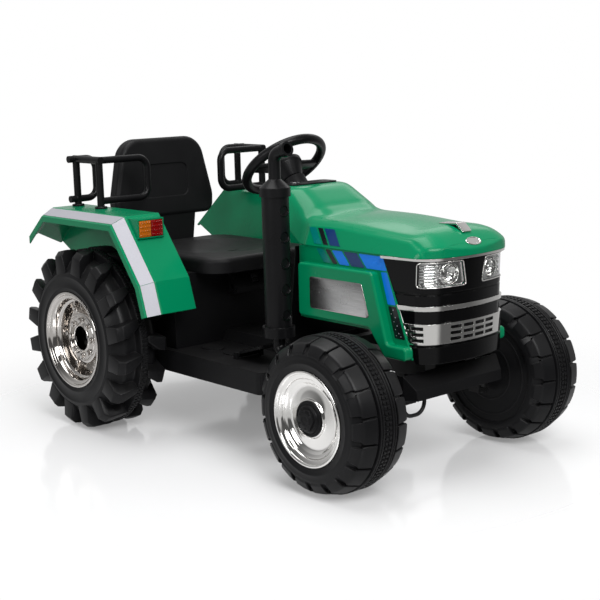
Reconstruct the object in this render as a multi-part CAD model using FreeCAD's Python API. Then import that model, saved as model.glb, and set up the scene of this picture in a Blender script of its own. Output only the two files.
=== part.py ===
"""Ride-on tractor toy: every piece is its own solid, in millimetres."""
import FreeCAD, Part
import math
import os

V = FreeCAD.Vector

# Fits and cuts
overrun = 6.0
fit_gap = 0.3
running_gap = 0.08
wall = 4.0
thin_wall = 3.0
shortest_edge = 0.001
corner_share = 0.48
cut_tolerance = 0.001
stagger_share = 0.25
flat_share = 0.9

# Ground plan, measured from the rear axle
wheelbase = 770.0
fender_rear_reach = 298.0
body_half_width = 130.0
seam_z = 455.0

# Rear wheels
rear_tyre_radius = 210.0
rear_tyre_width = 131.0
rear_tyre_gap = 15.0
rear_rim_radius = 113.4
rear_rim_depth = 62.0
rear_rim_proud = 1.5
rear_disc_radius = 140.0
rear_disc_recess = 14.0
rear_sidewall_radius = 158.0
rear_carcass_radius = 183.0
rear_shoulder_width = 22.0
rear_band_radius = 206.0
rear_band_width = 18.0
rear_lug_count = 16
rear_lug_thickness = 43.0
rear_lug_sweep = 18.0
rear_lug_shoulder = 12.0
rear_lug_tip_share = 0.62
rear_lug_shares = ((-0.5, 0.0, 1.0), (0.5, 0.0, 1.0), (0.55, 0.3, 0.5), (0.3, 1.0, 0.0),
                   (-0.2, 1.0, 0.0), (-0.5, 0.25, 0.55))
rear_boss_radius = 16.0
rear_boss_reach = 22.0
rear_rim_shares = ((0.94, 1.0), (0.92, 0.9), (0.86, 0.86), (0.83, 0.62), (0.78, 0.58),
                   (0.74, 0.16), (0.57, 0.16), (0.53, 0.5), (0.2, 0.54))
rear_rib_count = 6
rear_rib_thickness = 6.0
rear_rib_share = 0.4
rear_rib_reach_shares = (0.54, 0.79)
rear_nut_count = 8
rear_nut_radius = 7.0
rear_nut_height = 7.0
rear_nut_circle = 43.0
axle_radius = 6.0
axle_reach = 87.0
axle_nut_radius = 11.0
axle_nut_height = 9.0
nut_sides = 6

# Front wheels
front_tyre_radius = 158.0
front_tyre_width = 136.0
front_tyre_gap = 18.0
front_rim_radius = 95.7
front_rim_depth = 30.0
front_rim_proud = 1.5
front_disc_radius = 112.0
front_disc_recess = 5.0
front_sidewall_radius = 130.0
front_shoulder_radius = 148.0
front_shoulder_width = 11.0
front_band_width = 42.0
front_groove_width = 5.0
front_groove_depth = 6.0
front_block_drop = 2.0
front_block_count = 18
front_notch_width = 6.0
front_notch_depth = 10.0
front_pocket_radius = 8.0
front_pocket_length = 15.0
front_rim_shares = ((0.93, 1.0), (0.9, 0.9), (0.84, 0.85), (0.81, 0.6), (0.74, 0.56),
                    (0.66, 0.36), (0.4, 0.5), (0.3, 0.62))
hub_cap_radius = 36.0
hub_cap_height = 9.0
hub_cap_hex_radius = 24.0
hub_cap_hex_height = 5.0
hub_cap_plug = 4.0
retainer_radius = 11.0
retainer_height = 6.0

# Steering
steering_back = 434.0
steering_z = 606.0
steering_tilt_deg = 40.0
steering_radius = 105.0
steering_rim_thickness = 22.0
steering_hub_radius = 40.0
steering_hub_rise = 9.0
steering_hub_skirt = 14.0
steering_hub_depth = 42.0
steering_boss_radius = 25.0
steering_spoke_width = 34.0
steering_spoke_tip_share = 0.6
steering_spoke_thickness = 11.0
steering_turn_deg = 45.0
wheel_turn_deg = 20.0
horn_radius = 19.0
horn_height = 8.0
horn_proud = 4.0
button_gap = 0.5
button_travel = 2.0
shaft_radius = 6.0
shaft_top = 10.0
shaft_bend = 10.0
crank_rise = 18.0
crank_pin = 15.0
kingpin_reach = 48.0
kingpin_radius = 5.0
kingpin_head_radius = 9.0
kingpin_head = 5.0
tie_rod_z = 120.0
tie_rod_radius = 4.0
tie_eye_radius = 11.0
tie_eye_height = 10.0
tie_pin_radius = 5.0
tie_plate_length = 52.0
tie_plate_width = 40.0
tie_slot_back = 15.0
tie_slot_ahead = 23.0
tie_slot_play = 1.8
knuckle_radius = 13.0
knuckle_low_z = 130.0
knuckle_high_z = 186.0
knuckle_arm_z = 132.0
knuckle_arm_height = 9.0
ear_height = 8.0
ear_play = 0.4

# Front axle beam and subframe
beam_end_gap = 18.0
beam_half_depth = 14.0
beam_half_height = 13.0
beam_plate = 7.0
rail_inner_y = 45.0
rail_outer_y = 75.0
rail_low_z = 205.0
rail_high_z = 245.0
rail_front_gap = 66.0
rail_web = 5.0
subframe_foot = 6.0
subframe_foot_low_z = 150.0
cross_front_back = 34.0
cross_rear_ahead = 46.0
cross_width = 24.0

# Chassis tub
tub_rear_x = 185.0
tub_front_back = 250.0
tub_half_width = 235.0
tub_low_z = 140.0
floor_z = 190.0
tunnel_half_width = 83.0
tunnel_slope = 12.0
tunnel_z = 215.0
tub_corner = 22.0
tub_rib_count = 5
pad_count = 3
pad_length_share = 0.857
pad_half_width = 24.0
pad_height = 3.0
pad_first_gap = 15.0
pad_last_gap = 13.0
pad_inward = 7.0
hitch_length = 42.0
hitch_half_width = 24.0
hitch_height = 12.0
hitch_hole_radius = 6.5
hitch_hole_back = 20.0

# Seat box, console and what they hold
seat_box_step = 18.0
seat_box_front_x = 190.0
seat_box_rear_x = 185.0
seat_box_rear_lean = 22.0
deck_z = 362.0
boss_hole_radius = 19.0
console_half_width = 58.0
console_low_z = 296.0
console_high_z = 348.0
console_depth = 34.0
console_lip = 12.0
console_foot = 8.0
console_top_depth = 13.0
socket_ahead = 15.0
socket_lift = 22.0
socket_radius = 7.0
socket_depth = 14.0
socket_rim_radius = 12.0
socket_rim_height = 3.0
rocker_half_length = 11.0
rocker_half_width = 9.0
rocker_rise = 4.0
rocker_dip = 2.0
rocker_depth = 7.0
rocker_tip_share = 0.8
rocker_clearance = 1.6
battery_x = 46.0
battery_length = 110.0
battery_half_width = 75.0
battery_height = 96.0
battery_post_radius = 6.0
battery_post_height = 8.0
battery_post_share = 0.6
battery_lid_step = 3.0
battery_lid_height = 14.0
gearbox_radius = 48.0
gearbox_small_radius = 27.0
gearbox_reach = 72.0
gearbox_lift = 22.0
gearbox_width = 46.0
gearbox_socket_depth = 24.0
motor_radius = 19.0
motor_length = 62.0

# Seat
seat_front_x = 267.0
seat_rear_x = 108.0
seat_inset = 61.0
seat_thickness = 36.0
seat_corner = 60.0
seat_edge = 12.0
seat_dish_radius = 900.0
seat_dish_depth = 9.0
seat_slot_x = 136.0
seat_slot_half_length = 11.0
seat_slot_radius = 5.0
seat_shell = 6.0
seat_back_x = 128.0
seat_back_low_z = 456.0
seat_back_shoulder_z = 505.0
seat_back_top_z = 656.0
seat_back_inset = 65.0
seat_back_low_inset = 69.0
seat_back_top_inset = 99.0
seat_back_thickness = 40.0
seat_back_corner = 58.0
seat_back_edge = 11.0
seat_back_lean_deg = 3.0
seat_neck_inset = 139.0
seat_neck_top_inset = 125.0
seat_neck_thickness = 30.0
back_panel_inset = 147.0
back_panel_low_z = 506.0
back_panel_high_z = 590.0
back_panel_depth = 2.5
back_panel_corner = 18.0

# Bonnet and cowl
hood_front_overhang = 155.0
hood_rise = 61.0
hood_crown_inset = 50.0
hood_crease_inset = 18.0
hood_lip = 8.0
hood_rear_back = 242.0
hood_station_shares = (0.0, 0.28, 0.51, 0.75, 0.87, 0.94, 1.0)
hood_crown_shares = (1.0, 1.0, 0.97, 0.9, 0.76, 0.42, 0.09)
hood_side_shares = (0.93, 0.9, 0.85, 0.77, 0.67, 0.38, 0.07)
hood_crease_shares = (0.86, 0.84, 0.75, 0.64, 0.48, 0.2, 0.05)
cowl_rear_back = 380.0
cowl_foot_drop = 3.0
cowl_foot_back = 196.0
cowl_foot_corner = 60.0
cowl_top_z = 568.0
cowl_top_back = 300.0
cowl_top_corner = 46.0
cowl_top_inset = 42.0
cowl_rear_corner = 18.0
cowl_edge = 10.0
cowl_sweep_rear_z = 540.0
cowl_sweep_back = 238.0
dash_thickness = 3.0
dash_plug = 12.0
dash_rear_gap = 8.0
dash_length = 42.0
dash_half_width = 62.0
dash_flange = 5.0
dash_corner = 8.0
shroud_radius = 30.0
shroud_top_radius = 28.8
shroud_top = 46.0
shroud_low = 128.0
power_button_back = 346.0
power_button_y = 46.0
power_button_radius = 11.0
power_button_height = 9.0
power_button_proud = 4.0
toe_low_back = 300.0
toe_high_back = 264.0
toe_high_z = 448.0
toe_inset = 9.0
bearing_radius = 17.0
bearing_length = 40.0

# Nose: fascia, trims, lamps
nose_overhang = 137.0
nose_corner_back = 10.0
nose_corner_inset = 50.0
nose_mid_back = 23.0
nose_mid_inset = 24.0
nose_cheek_back = 45.0
nose_cheek_inset = 9.0
nose_side_back = 102.0
nose_side_inset = 2.0
nose_draft = 9.0
nose_low_z = 245.0
nose_corner_normal_shares = (0.9, 0.44)
nose_mid_normal_shares = (0.66, 0.75)
nose_cheek_normal_shares = (0.3, 0.95)
fascia_end_top_back = 127.0
fascia_end_low_back = 45.0
fascia_groove_z = 381.0
fascia_groove_height = 4.0
fascia_groove_depth = 2.5
fascia_lip_high_z = 279.0
fascia_lip_proud = 5.0
trim_proud = 7.0
trim_height = 5.0
strip_z = 351.0
strip_height = 9.0
strip_proud = 4.0
grille_low_z = 284.0
grille_high_z = 325.0
grille_proud = 4.5
grille_slot_inset = 64.0
grille_columns = 4
grille_side_columns = 2
grille_rows = 3
grille_bar = 5.0
grille_side_front_back = 30.0
grille_side_rear_back = 86.0
lamp_inner_top_y = 34.0
lamp_inner_low_y = 24.0
lamp_outer_inset = 11.0
lamp_top_z = 445.0
lamp_low_z = 398.0
lamp_lens_inset = 1.0
lamp_lens_thickness = 2.5
lamp_bowl_depth = 34.0
lamp_bowl_flange = 3.0
lamp_dish_inset = 70.0
lamp_dish_radius = 19.0
lamp_dish_depth = 18.0
lamp_step_inset = 46.0
lamp_step_depth = 12.0
lamp_edge = 4.0
scoop_station = 3
scoop_rear_back = 104.0
scoop_length = 72.0
scoop_half_width = 13.0
scoop_rise = 4.0
scoop_tip_length = 12.0

# Side walls and side panels
panel_proud = 20.0
panel_rear_back = 225.0
panel_front_back = 4.0
panel_high_z = 421.0
panel_low_z = 308.0
panel_foot_rear_ahead = 38.0
panel_foot_front_ahead = 90.0
panel_foot_low_z = 254.0
panel_foot_high_z = 281.0
panel_corner = 9.0
panel_edge = 5.0
side_wall_rear_back = 240.0
side_wall_low_z = 300.0

# Fenders, lamps on them, hand rails
fender_outer_reach = 232.0
fender_rear_z = 400.0
fender_top_z = 503.0
fender_top_rear_x = 172.0
fender_top_front_x = 142.0
fender_crease_x = 250.0
fender_crease_z = 366.0
fender_foot_x = 272.0
fender_foot_z = 296.0
fender_top_width = 91.0
fender_bevel_width = 37.0
fender_bevel_drop = 18.0
fender_lip = 13.0
fender_wall_low_z = 300.0
fender_wall_rear_z = 350.0
fender_wall_gap = 6.0
marker_face_x = 186.0
marker_inner_gap = 21.0
marker_width = 64.0
marker_low_z = 457.0
marker_high_z = 495.0
marker_rim = 3.0
marker_pocket = 4.0
marker_proud = 2.0
rail_tube_radius = 9.2
rail_post_radius = 8.9
rail_loop_radius = 8.5
rail_end_radius = 5.0
rail_post_gap = 33.0
rail_front_post_x = 48.0
rail_rear_post_x = 150.0
rail_top_z = 617.0
rail_loop_low_z = 512.0
rail_front_loop = 137.0
rail_rear_loop = 54.0
rail_end_length = 22.0
rail_bend = 26.0
rail_foot_radius = 15.0
rail_foot_height = 5.0

# Front bumper and its lead
bumper_front_back = 37.0
bumper_rear_back = 107.0
bumper_low_z = 172.0
bumper_nose_z = 193.0
bumper_high_z = 220.0
bumper_nose_step = 3.0
bumper_slope_back = 27.0
bumper_front_inset = 4.0
bumper_rear_outset = 10.0
lead_radius = 4.0
lead_x_back = 62.0
lead_inset = 14.0
lead_half_width = 30.0
lead_low_z = 137.0
lead_bend = 24.0

# Exhaust on the right side
exhaust_back = 255.0
exhaust_reach = 50.0
stack_radius = 29.0
stack_low_z = 284.0
stack_high_z = 560.0
stack_collar_radius = 35.0
stack_base_z = 262.0
stack_top_radius = 33.0
stack_top_z = 578.0
stack_dimple_count = 5
stack_dimple_radius = 10.0
stack_dimple_depth = 4.0
stack_dimple_share = 0.8
outlet_radius = 13.0
outlet_bore_radius = 10.5
outlet_cone_height = 18.0
outlet_bend = 22.0
outlet_bend_z = 648.0
outlet_reach = 44.0
outlet_tip_z = 660.0
outlet_bead_radius = 15.5
outlet_bead_length = 12.0
elbow_radius = 14.0
elbow_z = 226.0
elbow_reach = 51.0
elbow_bend = 20.0

# Accelerator pedal
pedal_hinge_back = 396.0
pedal_hinge_lift = 9.0
pedal_inward = 7.0
pedal_half_width = 32.0
pedal_length = 86.0
pedal_thickness = 6.0
pedal_slope_deg = 17.0
pedal_barrel_radius = 6.5
pedal_pin_radius = 3.0
pedal_ear_width = 5.0
pedal_ear_gap = 1.0
pedal_rib_count = 4
pedal_rib_height = 2.0
pedal_rib_width = 5.0

# Lengths that follow from the wheelbase
centre_x = (wheelbase + front_tyre_radius - fender_rear_reach) / 2
nose_x = wheelbase + nose_overhang
hood_front_x = wheelbase + hood_front_overhang
hood_rear_x = wheelbase - hood_rear_back
steering_x = wheelbase - steering_back
tub_front_x = wheelbase - tub_front_back
cowl_rear_x = wheelbase - cowl_rear_back
cowl_foot_x = wheelbase - cowl_foot_back
cowl_top_x = wheelbase - cowl_top_back
cowl_sweep_x = wheelbase - cowl_sweep_back
power_button_x = wheelbase - power_button_back
toe_low_x = wheelbase - toe_low_back
toe_high_x = wheelbase - toe_high_back
panel_rear_x = wheelbase - panel_rear_back
panel_front_x = wheelbase - panel_front_back
panel_foot_rear_x = wheelbase + panel_foot_rear_ahead
panel_foot_front_x = wheelbase + panel_foot_front_ahead
side_wall_rear_x = wheelbase - side_wall_rear_back
exhaust_x = wheelbase - exhaust_back
outlet_tip_x = exhaust_x + outlet_reach
elbow_end_x = exhaust_x + elbow_reach
pedal_hinge_x = wheelbase - pedal_hinge_back
pad_first_x = seat_box_front_x + pad_first_gap
pad_pitch = (toe_low_x - pad_last_gap - pad_first_x) / pad_count
pad_length = pad_pitch * pad_length_share

# Widths that follow from the tub
seat_box_half_width = tub_half_width - seat_box_step
rear_tyre_inner_y = tub_half_width + rear_tyre_gap
rear_boss_inner_y = seat_box_half_width - rear_boss_reach
axle_end_y = rear_tyre_inner_y + axle_reach
pedal_y = (tunnel_half_width + tub_half_width) / 2 - pedal_inward
pad_y = (tunnel_half_width + tub_half_width) / 2 - pad_inward
seat_half_width = seat_box_half_width - seat_inset
seat_back_half_width = seat_box_half_width - seat_back_inset
seat_back_low_half_width = seat_box_half_width - seat_back_low_inset
seat_back_top_half_width = seat_box_half_width - seat_back_top_inset
seat_neck_half_width = seat_box_half_width - seat_neck_inset
seat_neck_top_half_width = seat_box_half_width - seat_neck_top_inset
back_panel_half_width = seat_box_half_width - back_panel_inset
fender_bevel_y = seat_box_half_width + fender_top_width
fender_outer_y = fender_bevel_y + fender_bevel_width
marker_inner_y = seat_box_half_width + marker_inner_gap
marker_outer_y = marker_inner_y + marker_width
rail_post_y = seat_box_half_width + rail_post_gap
rail_front_loop_y = rail_post_y - rail_front_loop
rail_rear_loop_y = rail_post_y - rail_rear_loop
rail_end_y = rail_post_y + rail_end_length

# Widths that follow from the body
hood_crown_half_width = body_half_width - hood_crown_inset
hood_crease_half_width = body_half_width - hood_crease_inset
cowl_top_half_width = body_half_width - cowl_top_inset
cowl_foot_z = seam_z + hood_rise * hood_crease_shares[0] - cowl_foot_drop
toe_half_width = body_half_width - toe_inset
nose_corner_y = body_half_width - nose_corner_inset
nose_mid_y = body_half_width - nose_mid_inset
nose_cheek_y = body_half_width - nose_cheek_inset
nose_side_y = body_half_width - nose_side_inset
grille_slot_half_span = body_half_width - grille_slot_inset
lamp_outer_y = body_half_width - lamp_outer_inset
lamp_dish_y = body_half_width - lamp_dish_inset
lamp_step_inner_y = body_half_width - lamp_step_inset
bumper_front_half_width = body_half_width - bumper_front_inset
bumper_rear_half_width = body_half_width + bumper_rear_outset
lead_y = bumper_front_half_width - lead_inset
exhaust_y = body_half_width + exhaust_reach
kingpin_y = body_half_width + kingpin_reach
beam_half_length = kingpin_y - beam_end_gap
front_tyre_inner_y = kingpin_y + front_tyre_gap

# Steering linkage: both wheels turn by the wheel angle at full steering lock
tilt = math.radians(steering_tilt_deg)
lock_sine = math.sin(math.radians(steering_turn_deg))
steer_gain = math.sin(math.radians(wheel_turn_deg))
crank_gap = wheelbase - steering_x - math.tan(tilt) * (steering_z - tie_rod_z)
crank_radius = crank_gap * steer_gain / (lock_sine - steer_gain / math.cos(tilt))
tie_rod_x = wheelbase - crank_gap - crank_radius / math.cos(tilt)
column_length = (steering_z - tie_rod_z - crank_radius * math.sin(tilt)) / math.cos(tilt)
column_down = V(math.sin(tilt), 0, -math.cos(tilt))
crank_way = V(-math.cos(tilt), 0, -math.sin(tilt))


# Outlines and simple bodies
def block(x0, x1, y0, y1, z0, z1):
    """Box between six planes."""
    return Part.makeBox(x1 - x0, y1 - y0, z1 - z0, V(x0, y0, z0))


def closed_wire(points):
    """Closed polygon through the points."""
    return Part.makePolygon(list(points) + [points[0]])


def side_points(outline, y):
    """Points of an (x, z) outline in the plane at y."""
    return [V(x, y, z) for x, z in outline]


def side_prism(outline, y0, y1):
    """Prism of an (x, z) outline between two planes across y."""
    return Part.Face(closed_wire(side_points(outline, y0))).extrude(V(0, y1 - y0, 0))


def end_prism(outline, x0, x1):
    """Prism of a (y, z) outline between two planes across x."""
    points = [V(x0, y, z) for y, z in outline]
    return Part.Face(closed_wire(points)).extrude(V(x1 - x0, 0, 0))


def plan_prism(outline, z0, z1):
    """Prism of an (x, y) outline between two heights."""
    points = [V(x, y, z0) for x, y in outline]
    return Part.Face(closed_wire(points)).extrude(V(0, 0, z1 - z0))


def both_sides(outline):
    """Outline of (a, b) points on the right, closed by its mirror on the left."""
    return [(-a, b) for a, b in outline] + [(a, b) for a, b in reversed(outline)]


def rounded_wire(points, radius, radii=None):
    """Closed flat outline with one radius at its corners, or one for each."""
    arcs = []
    count = len(points)
    sizes = radii or [radius] * count
    for place, corner in enumerate(points):
        before = points[place - 1] - corner
        after = points[(place + 1) % count] - corner
        half = before.getAngle(after) / 2
        reach = min(sizes[place] / math.tan(half), corner_share * min(before.Length, after.Length))
        first = V(before).normalize()
        second = V(after).normalize()
        inward = (first + second).normalize()
        centre = corner + inward * (reach / math.cos(half))
        middle = centre - inward * (reach * math.tan(half))
        arcs.append((corner + first * reach, middle, corner + second * reach))
    edges = []
    for place, (start, middle, end) in enumerate(arcs):
        edges.append(Part.Arc(start, middle, end).toShape())
        following = arcs[(place + 1) % count][0]
        if end.distanceToPoint(following) > shortest_edge:
            edges.append(Part.LineSegment(end, following).toShape())
    return Part.Wire(edges)


def turned(profile):
    """Solid turned about the y axis from (radius, y) points."""
    points = [V(radius, y, 0) for radius, y in profile]
    return Part.Face(closed_wire(points)).revolve(V(0, 0, 0), V(0, 1, 0), 360)


def rod(start, end, radius):
    """Round bar between two points."""
    way = end - start
    return Part.makeCylinder(radius, way.Length, start, way)


def bent_path(points, bend):
    """Straight runs joined by tangent arcs."""
    edges = []
    last = points[0]
    for place in range(1, len(points) - 1):
        corner = points[place]
        back = (points[place - 1] - corner).normalize()
        ahead = (points[place + 1] - corner).normalize()
        half = back.getAngle(ahead) / 2
        reach = bend / math.tan(half)
        inward = (back + ahead).normalize()
        middle = corner + inward * (bend / math.sin(half) - bend)
        edges.append(Part.LineSegment(last, corner + back * reach).toShape())
        edges.append(Part.Arc(corner + back * reach, middle, corner + ahead * reach).toShape())
        last = corner + ahead * reach
    edges.append(Part.LineSegment(last, points[-1]).toShape())
    return Part.Wire(edges)


def tube(points, bend, radius):
    """Round bar swept along straight runs and tangent arcs."""
    path = bent_path(points, bend)
    section = Part.Wire(Part.makeCircle(radius, points[0], points[1] - points[0]))
    return path.makePipeShell([section], True, True)


def prism_of_hex(radius, centre, way, height):
    """Hexagonal bar standing on a point."""
    corners = []
    for place in range(nut_sides):
        angle = math.radians(360 * place / nut_sides)
        corners.append(V(radius * math.cos(angle), radius * math.sin(angle), 0))
    bar = Part.Face(closed_wire(corners)).extrude(V(0, 0, height))
    bar.Placement = FreeCAD.Placement(centre, FreeCAD.Rotation(V(0, 0, 1), way))
    return bar


def offset_path(points, distance):
    """Open (x, z) path moved towards its right-hand side."""
    ways = []
    for (x0, z0), (x1, z1) in zip(points, points[1:]):
        length = math.hypot(x1 - x0, z1 - z0)
        ways.append(((z1 - z0) / length, -(x1 - x0) / length))
    moved = []
    for place, (x, z) in enumerate(points):
        first = ways[max(place - 1, 0)]
        second = ways[min(place, len(ways) - 1)]
        stretch = 1 + first[0] * second[0] + first[1] * second[1]
        moved.append((x + distance * (first[0] + second[0]) / stretch,
                      z + distance * (first[1] + second[1]) / stretch))
    return moved


def strip(points, thickness):
    """Closed outline of a bent strip that lies under an open path."""
    return list(points) + list(reversed(offset_path(points, thickness)))


def mirrored(shape):
    """The same piece on the left side."""
    return shape.mirror(V(0, 0, 0), V(0, 1, 0))


def joined(shapes):
    """One solid from touching bodies."""
    return shapes[0].multiFuse(shapes[1:]).removeSplitter()


# Wheels, built at the origin with their outer side towards minus y
def wheel_profile(half, tread, disc_radius, recess, depth, seat_radius):
    """Half section of a moulded wheel from its tread and its two recesses."""
    bore = axle_radius + running_gap
    outer = [(radius, -y) for radius, y in reversed(tread)]
    return (outer[:-1] + tread
            + [(disc_radius, half), (disc_radius, half - recess), (bore, half - recess),
               (bore, depth - half), (seat_radius, depth - half), (seat_radius, -half)])


def rear_lug(side):
    """One tread lug at the foot of the tyre, tapered towards its tip."""
    half = rear_tyre_width / 2
    start = rear_band_width / 2
    sections = []
    low = rear_sidewall_radius - overrun
    for radius, share in ((low, 1.0), (rear_tyre_radius + overrun, rear_lug_tip_share)):
        points = []
        for along, sweep, across in rear_lug_shares:
            x = share * along * rear_lug_thickness + sweep * rear_lug_sweep
            points.append(V(x, side * (start + across * (half - start)), -radius))
        sections.append(closed_wire(points))
    return Part.makeLoft(sections, True, True)


def rear_tyre():
    """Moulded rear wheel with sixteen swept lugs on each side of a centre band."""
    half = rear_tyre_width / 2
    tread = [(rear_band_radius, 0), (rear_band_radius, rear_band_width / 2),
             (rear_carcass_radius, rear_band_width / 2),
             (rear_carcass_radius, half - rear_shoulder_width), (rear_sidewall_radius, half)]
    body = turned(wheel_profile(half, tread, rear_disc_radius, rear_disc_recess,
                                rear_rim_depth, rear_rim_radius + fit_gap))
    low = rear_sidewall_radius - overrun
    lugs = []
    for side in (-1, 1):
        envelope = turned([(low, 0), (rear_tyre_radius, 0),
                           (rear_tyre_radius, side * (half - rear_lug_shoulder)),
                           (rear_tyre_radius - rear_lug_shoulder, side * half), (low, side * half)])
        lug = rear_lug(side).common(envelope)
        stagger = stagger_share * (1 - side)
        for place in range(rear_lug_count):
            copy = lug.copy()
            copy.rotate(V(0, 0, 0), V(0, 1, 0), 360 * (place + stagger) / rear_lug_count)
            lugs.append(copy)
    boss_end = rear_tyre_inner_y + half - rear_boss_inner_y
    boss = rod(V(0, half - rear_disc_recess, 0), V(0, boss_end, 0), rear_boss_radius)
    bore = rod(V(0, half - rear_disc_recess, 0), V(0, boss_end + overrun, 0), axle_radius + running_gap)
    return body.multiFuse(lugs + [boss.cut(bore)]).removeSplitter()


def dished_rim(radius, depth, proud, shares):
    """Thin dished cover that stands on the floor of the wheel recess."""
    rim = [(radius, 0), (radius, depth + proud)]
    rim += [(share * radius, height * depth + proud) for share, height in shares]
    back = [(share * radius, height * depth + proud - thin_wall) for share, height in reversed(shares)]
    back[-1] = (radius - thin_wall, depth + proud - thin_wall)
    return turned([(r, -y) for r, y in rim + back + [(radius - thin_wall, 0)]])


def rear_rim():
    """Deep rear wheel cover with webs and a ring of nuts."""
    rim = dished_rim(rear_rim_radius, rear_rim_depth, rear_rim_proud, rear_rim_shares)
    first = rear_rim_shares[-3][1] * rear_rim_depth + rear_rim_proud
    face = rear_rim_shares[-1][1] * rear_rim_depth + rear_rim_proud
    extras = []
    inner, outer = rear_rib_reach_shares
    for place in range(rear_rib_count):
        web = block(inner * rear_rim_radius, outer * rear_rim_radius, -rear_rib_share * rear_rim_depth,
                    thin_wall - first, -rear_rib_thickness / 2, rear_rib_thickness / 2)
        web.rotate(V(0, 0, 0), V(0, 1, 0), 360 * place / rear_rib_count)
        extras.append(web)
    for place in range(rear_nut_count):
        angle = 2 * math.pi * place / rear_nut_count
        centre = V(rear_nut_circle * math.cos(angle), thin_wall - face, rear_nut_circle * math.sin(angle))
        extras.append(prism_of_hex(rear_nut_radius, centre, V(0, -1, 0), thin_wall + rear_nut_height))
    rim = rim.multiFuse(extras).removeSplitter()
    rim.translate(V(0, rear_rim_depth - rear_tyre_width / 2, 0))
    return rim


def front_tyre():
    """Moulded front wheel: centre band, side grooves and notched shoulder blocks."""
    half = front_tyre_width / 2
    band = front_band_width / 2
    block_y = band + front_groove_width
    tread = [(front_tyre_radius, 0), (front_tyre_radius, band),
             (front_tyre_radius - front_groove_depth, band),
             (front_tyre_radius - front_groove_depth, block_y),
             (front_tyre_radius - front_block_drop, block_y),
             (front_shoulder_radius, half - front_shoulder_width), (front_sidewall_radius, half)]
    body = turned(wheel_profile(half, tread, front_disc_radius, front_disc_recess,
                                front_rim_depth, front_rim_radius + fit_gap))
    cuts = []
    for side in (-1, 1):
        low, high = sorted((side * block_y, side * (half + overrun)))
        notch = block(-front_notch_width / 2, front_notch_width / 2, low, high,
                      front_tyre_radius - front_notch_depth, front_tyre_radius + overrun)
        pocket_y = side * (half - front_pocket_length)
        pocket = rod(V(0, pocket_y, front_shoulder_radius),
                     V(0, side * (half + overrun), front_shoulder_radius), front_pocket_radius)
        cut = notch.fuse(pocket)
        for place in range(front_block_count):
            copy = cut.copy()
            turn = place + stagger_share * (1 + side)
            copy.rotate(V(0, 0, 0), V(0, 1, 0), 360 * turn / front_block_count)
            cuts.append(copy)
    return body.cut(Part.makeCompound(cuts))


def front_rim():
    """Stepped front wheel cover with an open hub ring."""
    rim = dished_rim(front_rim_radius, front_rim_depth, front_rim_proud, front_rim_shares)
    rim.translate(V(0, front_rim_depth - front_tyre_width / 2, 0))
    return rim


def front_hub_cap():
    """Black hub cap with a hexagonal centre and a plug behind."""
    share, height = front_rim_shares[-1]
    plug = share * front_rim_radius - fit_gap
    face = front_rim_depth - front_tyre_width / 2 - height * front_rim_depth - front_rim_proud
    cap = turned([(0, hub_cap_plug), (plug, hub_cap_plug), (plug, 0), (hub_cap_radius, 0),
                  (hub_cap_radius, -hub_cap_height / 2), (hub_cap_hex_radius, -hub_cap_height),
                  (0, -hub_cap_height)])
    hexagon = prism_of_hex(hub_cap_hex_radius, V(0, -hub_cap_height / 2, 0), V(0, -1, 0),
                           hub_cap_height / 2 + hub_cap_hex_height)
    cap = cap.fuse(hexagon).removeSplitter()
    cap.translate(V(0, face, 0))
    return cap


def wheel_at(shape, x, inner_y, width, radius):
    """Move a right-hand wheel piece to its axle."""
    shape.translate(V(x, -inner_y - width / 2, radius))
    return shape


# Steering gear
def on_column(shape):
    """Tilt a piece made about the z axis onto the steering column."""
    shape.rotate(V(0, 0, 0), V(0, 1, 0), -steering_tilt_deg)
    shape.translate(V(steering_x, 0, steering_z))
    return shape


def column_point(distance):
    """Point on the steering axis below the wheel centre."""
    return V(steering_x, 0, steering_z) + column_down * distance


def steering_wheel():
    """Thick rim, bulging hub and three tapered spokes."""
    tube_radius = steering_rim_thickness / 2
    ring = steering_radius - tube_radius
    rim = Part.makeTorus(ring, tube_radius)
    profile = [V(0, 0, steering_hub_rise), V(horn_radius + thin_wall, 0, steering_hub_rise),
               V(steering_hub_radius, 0, 0), V(steering_hub_radius, 0, -steering_hub_skirt),
               V(steering_boss_radius, 0, -steering_hub_depth), V(0, 0, -steering_hub_depth)]
    hub = Part.Face(closed_wire(profile)).revolve(V(0, 0, 0), V(0, 0, 1), 360)
    spokes = []
    wide = steering_spoke_width / 2
    narrow = wide * steering_spoke_tip_share
    for angle in (90, 180, 270):
        spoke = plan_prism([(0, -wide), (ring, -narrow), (ring, narrow), (0, wide)],
                           -steering_spoke_thickness, 0)
        spoke.rotate(V(0, 0, 0), V(0, 0, 1), angle)
        spokes.append(spoke)
    wheel = rim.multiFuse([hub] + spokes).removeSplitter()
    pocket = Part.makeCylinder(horn_radius + button_gap, horn_height + overrun,
                               V(0, 0, steering_hub_rise + horn_proud - horn_height - button_travel))
    socket = Part.makeCylinder(shaft_radius + fit_gap, steering_hub_depth + overrun - shaft_top,
                               V(0, 0, -steering_hub_depth - overrun))
    return on_column(wheel.cut(pocket).cut(socket))


def horn_button():
    """Round push in the middle of the steering wheel."""
    low = steering_hub_rise + horn_proud - horn_height
    profile = [V(0, 0, low), V(horn_radius, 0, low), V(horn_radius, 0, low + horn_height - horn_proud / 2),
               V(horn_radius - horn_proud, 0, low + horn_height), V(0, 0, low + horn_height)]
    return on_column(Part.Face(closed_wire(profile)).revolve(V(0, 0, 0), V(0, 0, 1), 360))


def steering_shaft():
    """Bent rod from the wheel hub to the tie rod slot."""
    arm = column_point(column_length - crank_rise)
    pin_top = arm + crank_way * crank_radius
    pin_end = column_point(column_length + crank_pin) + crank_way * crank_radius
    return tube([column_point(shaft_top + fit_gap), arm, pin_top, pin_end], shaft_bend, shaft_radius)


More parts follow.
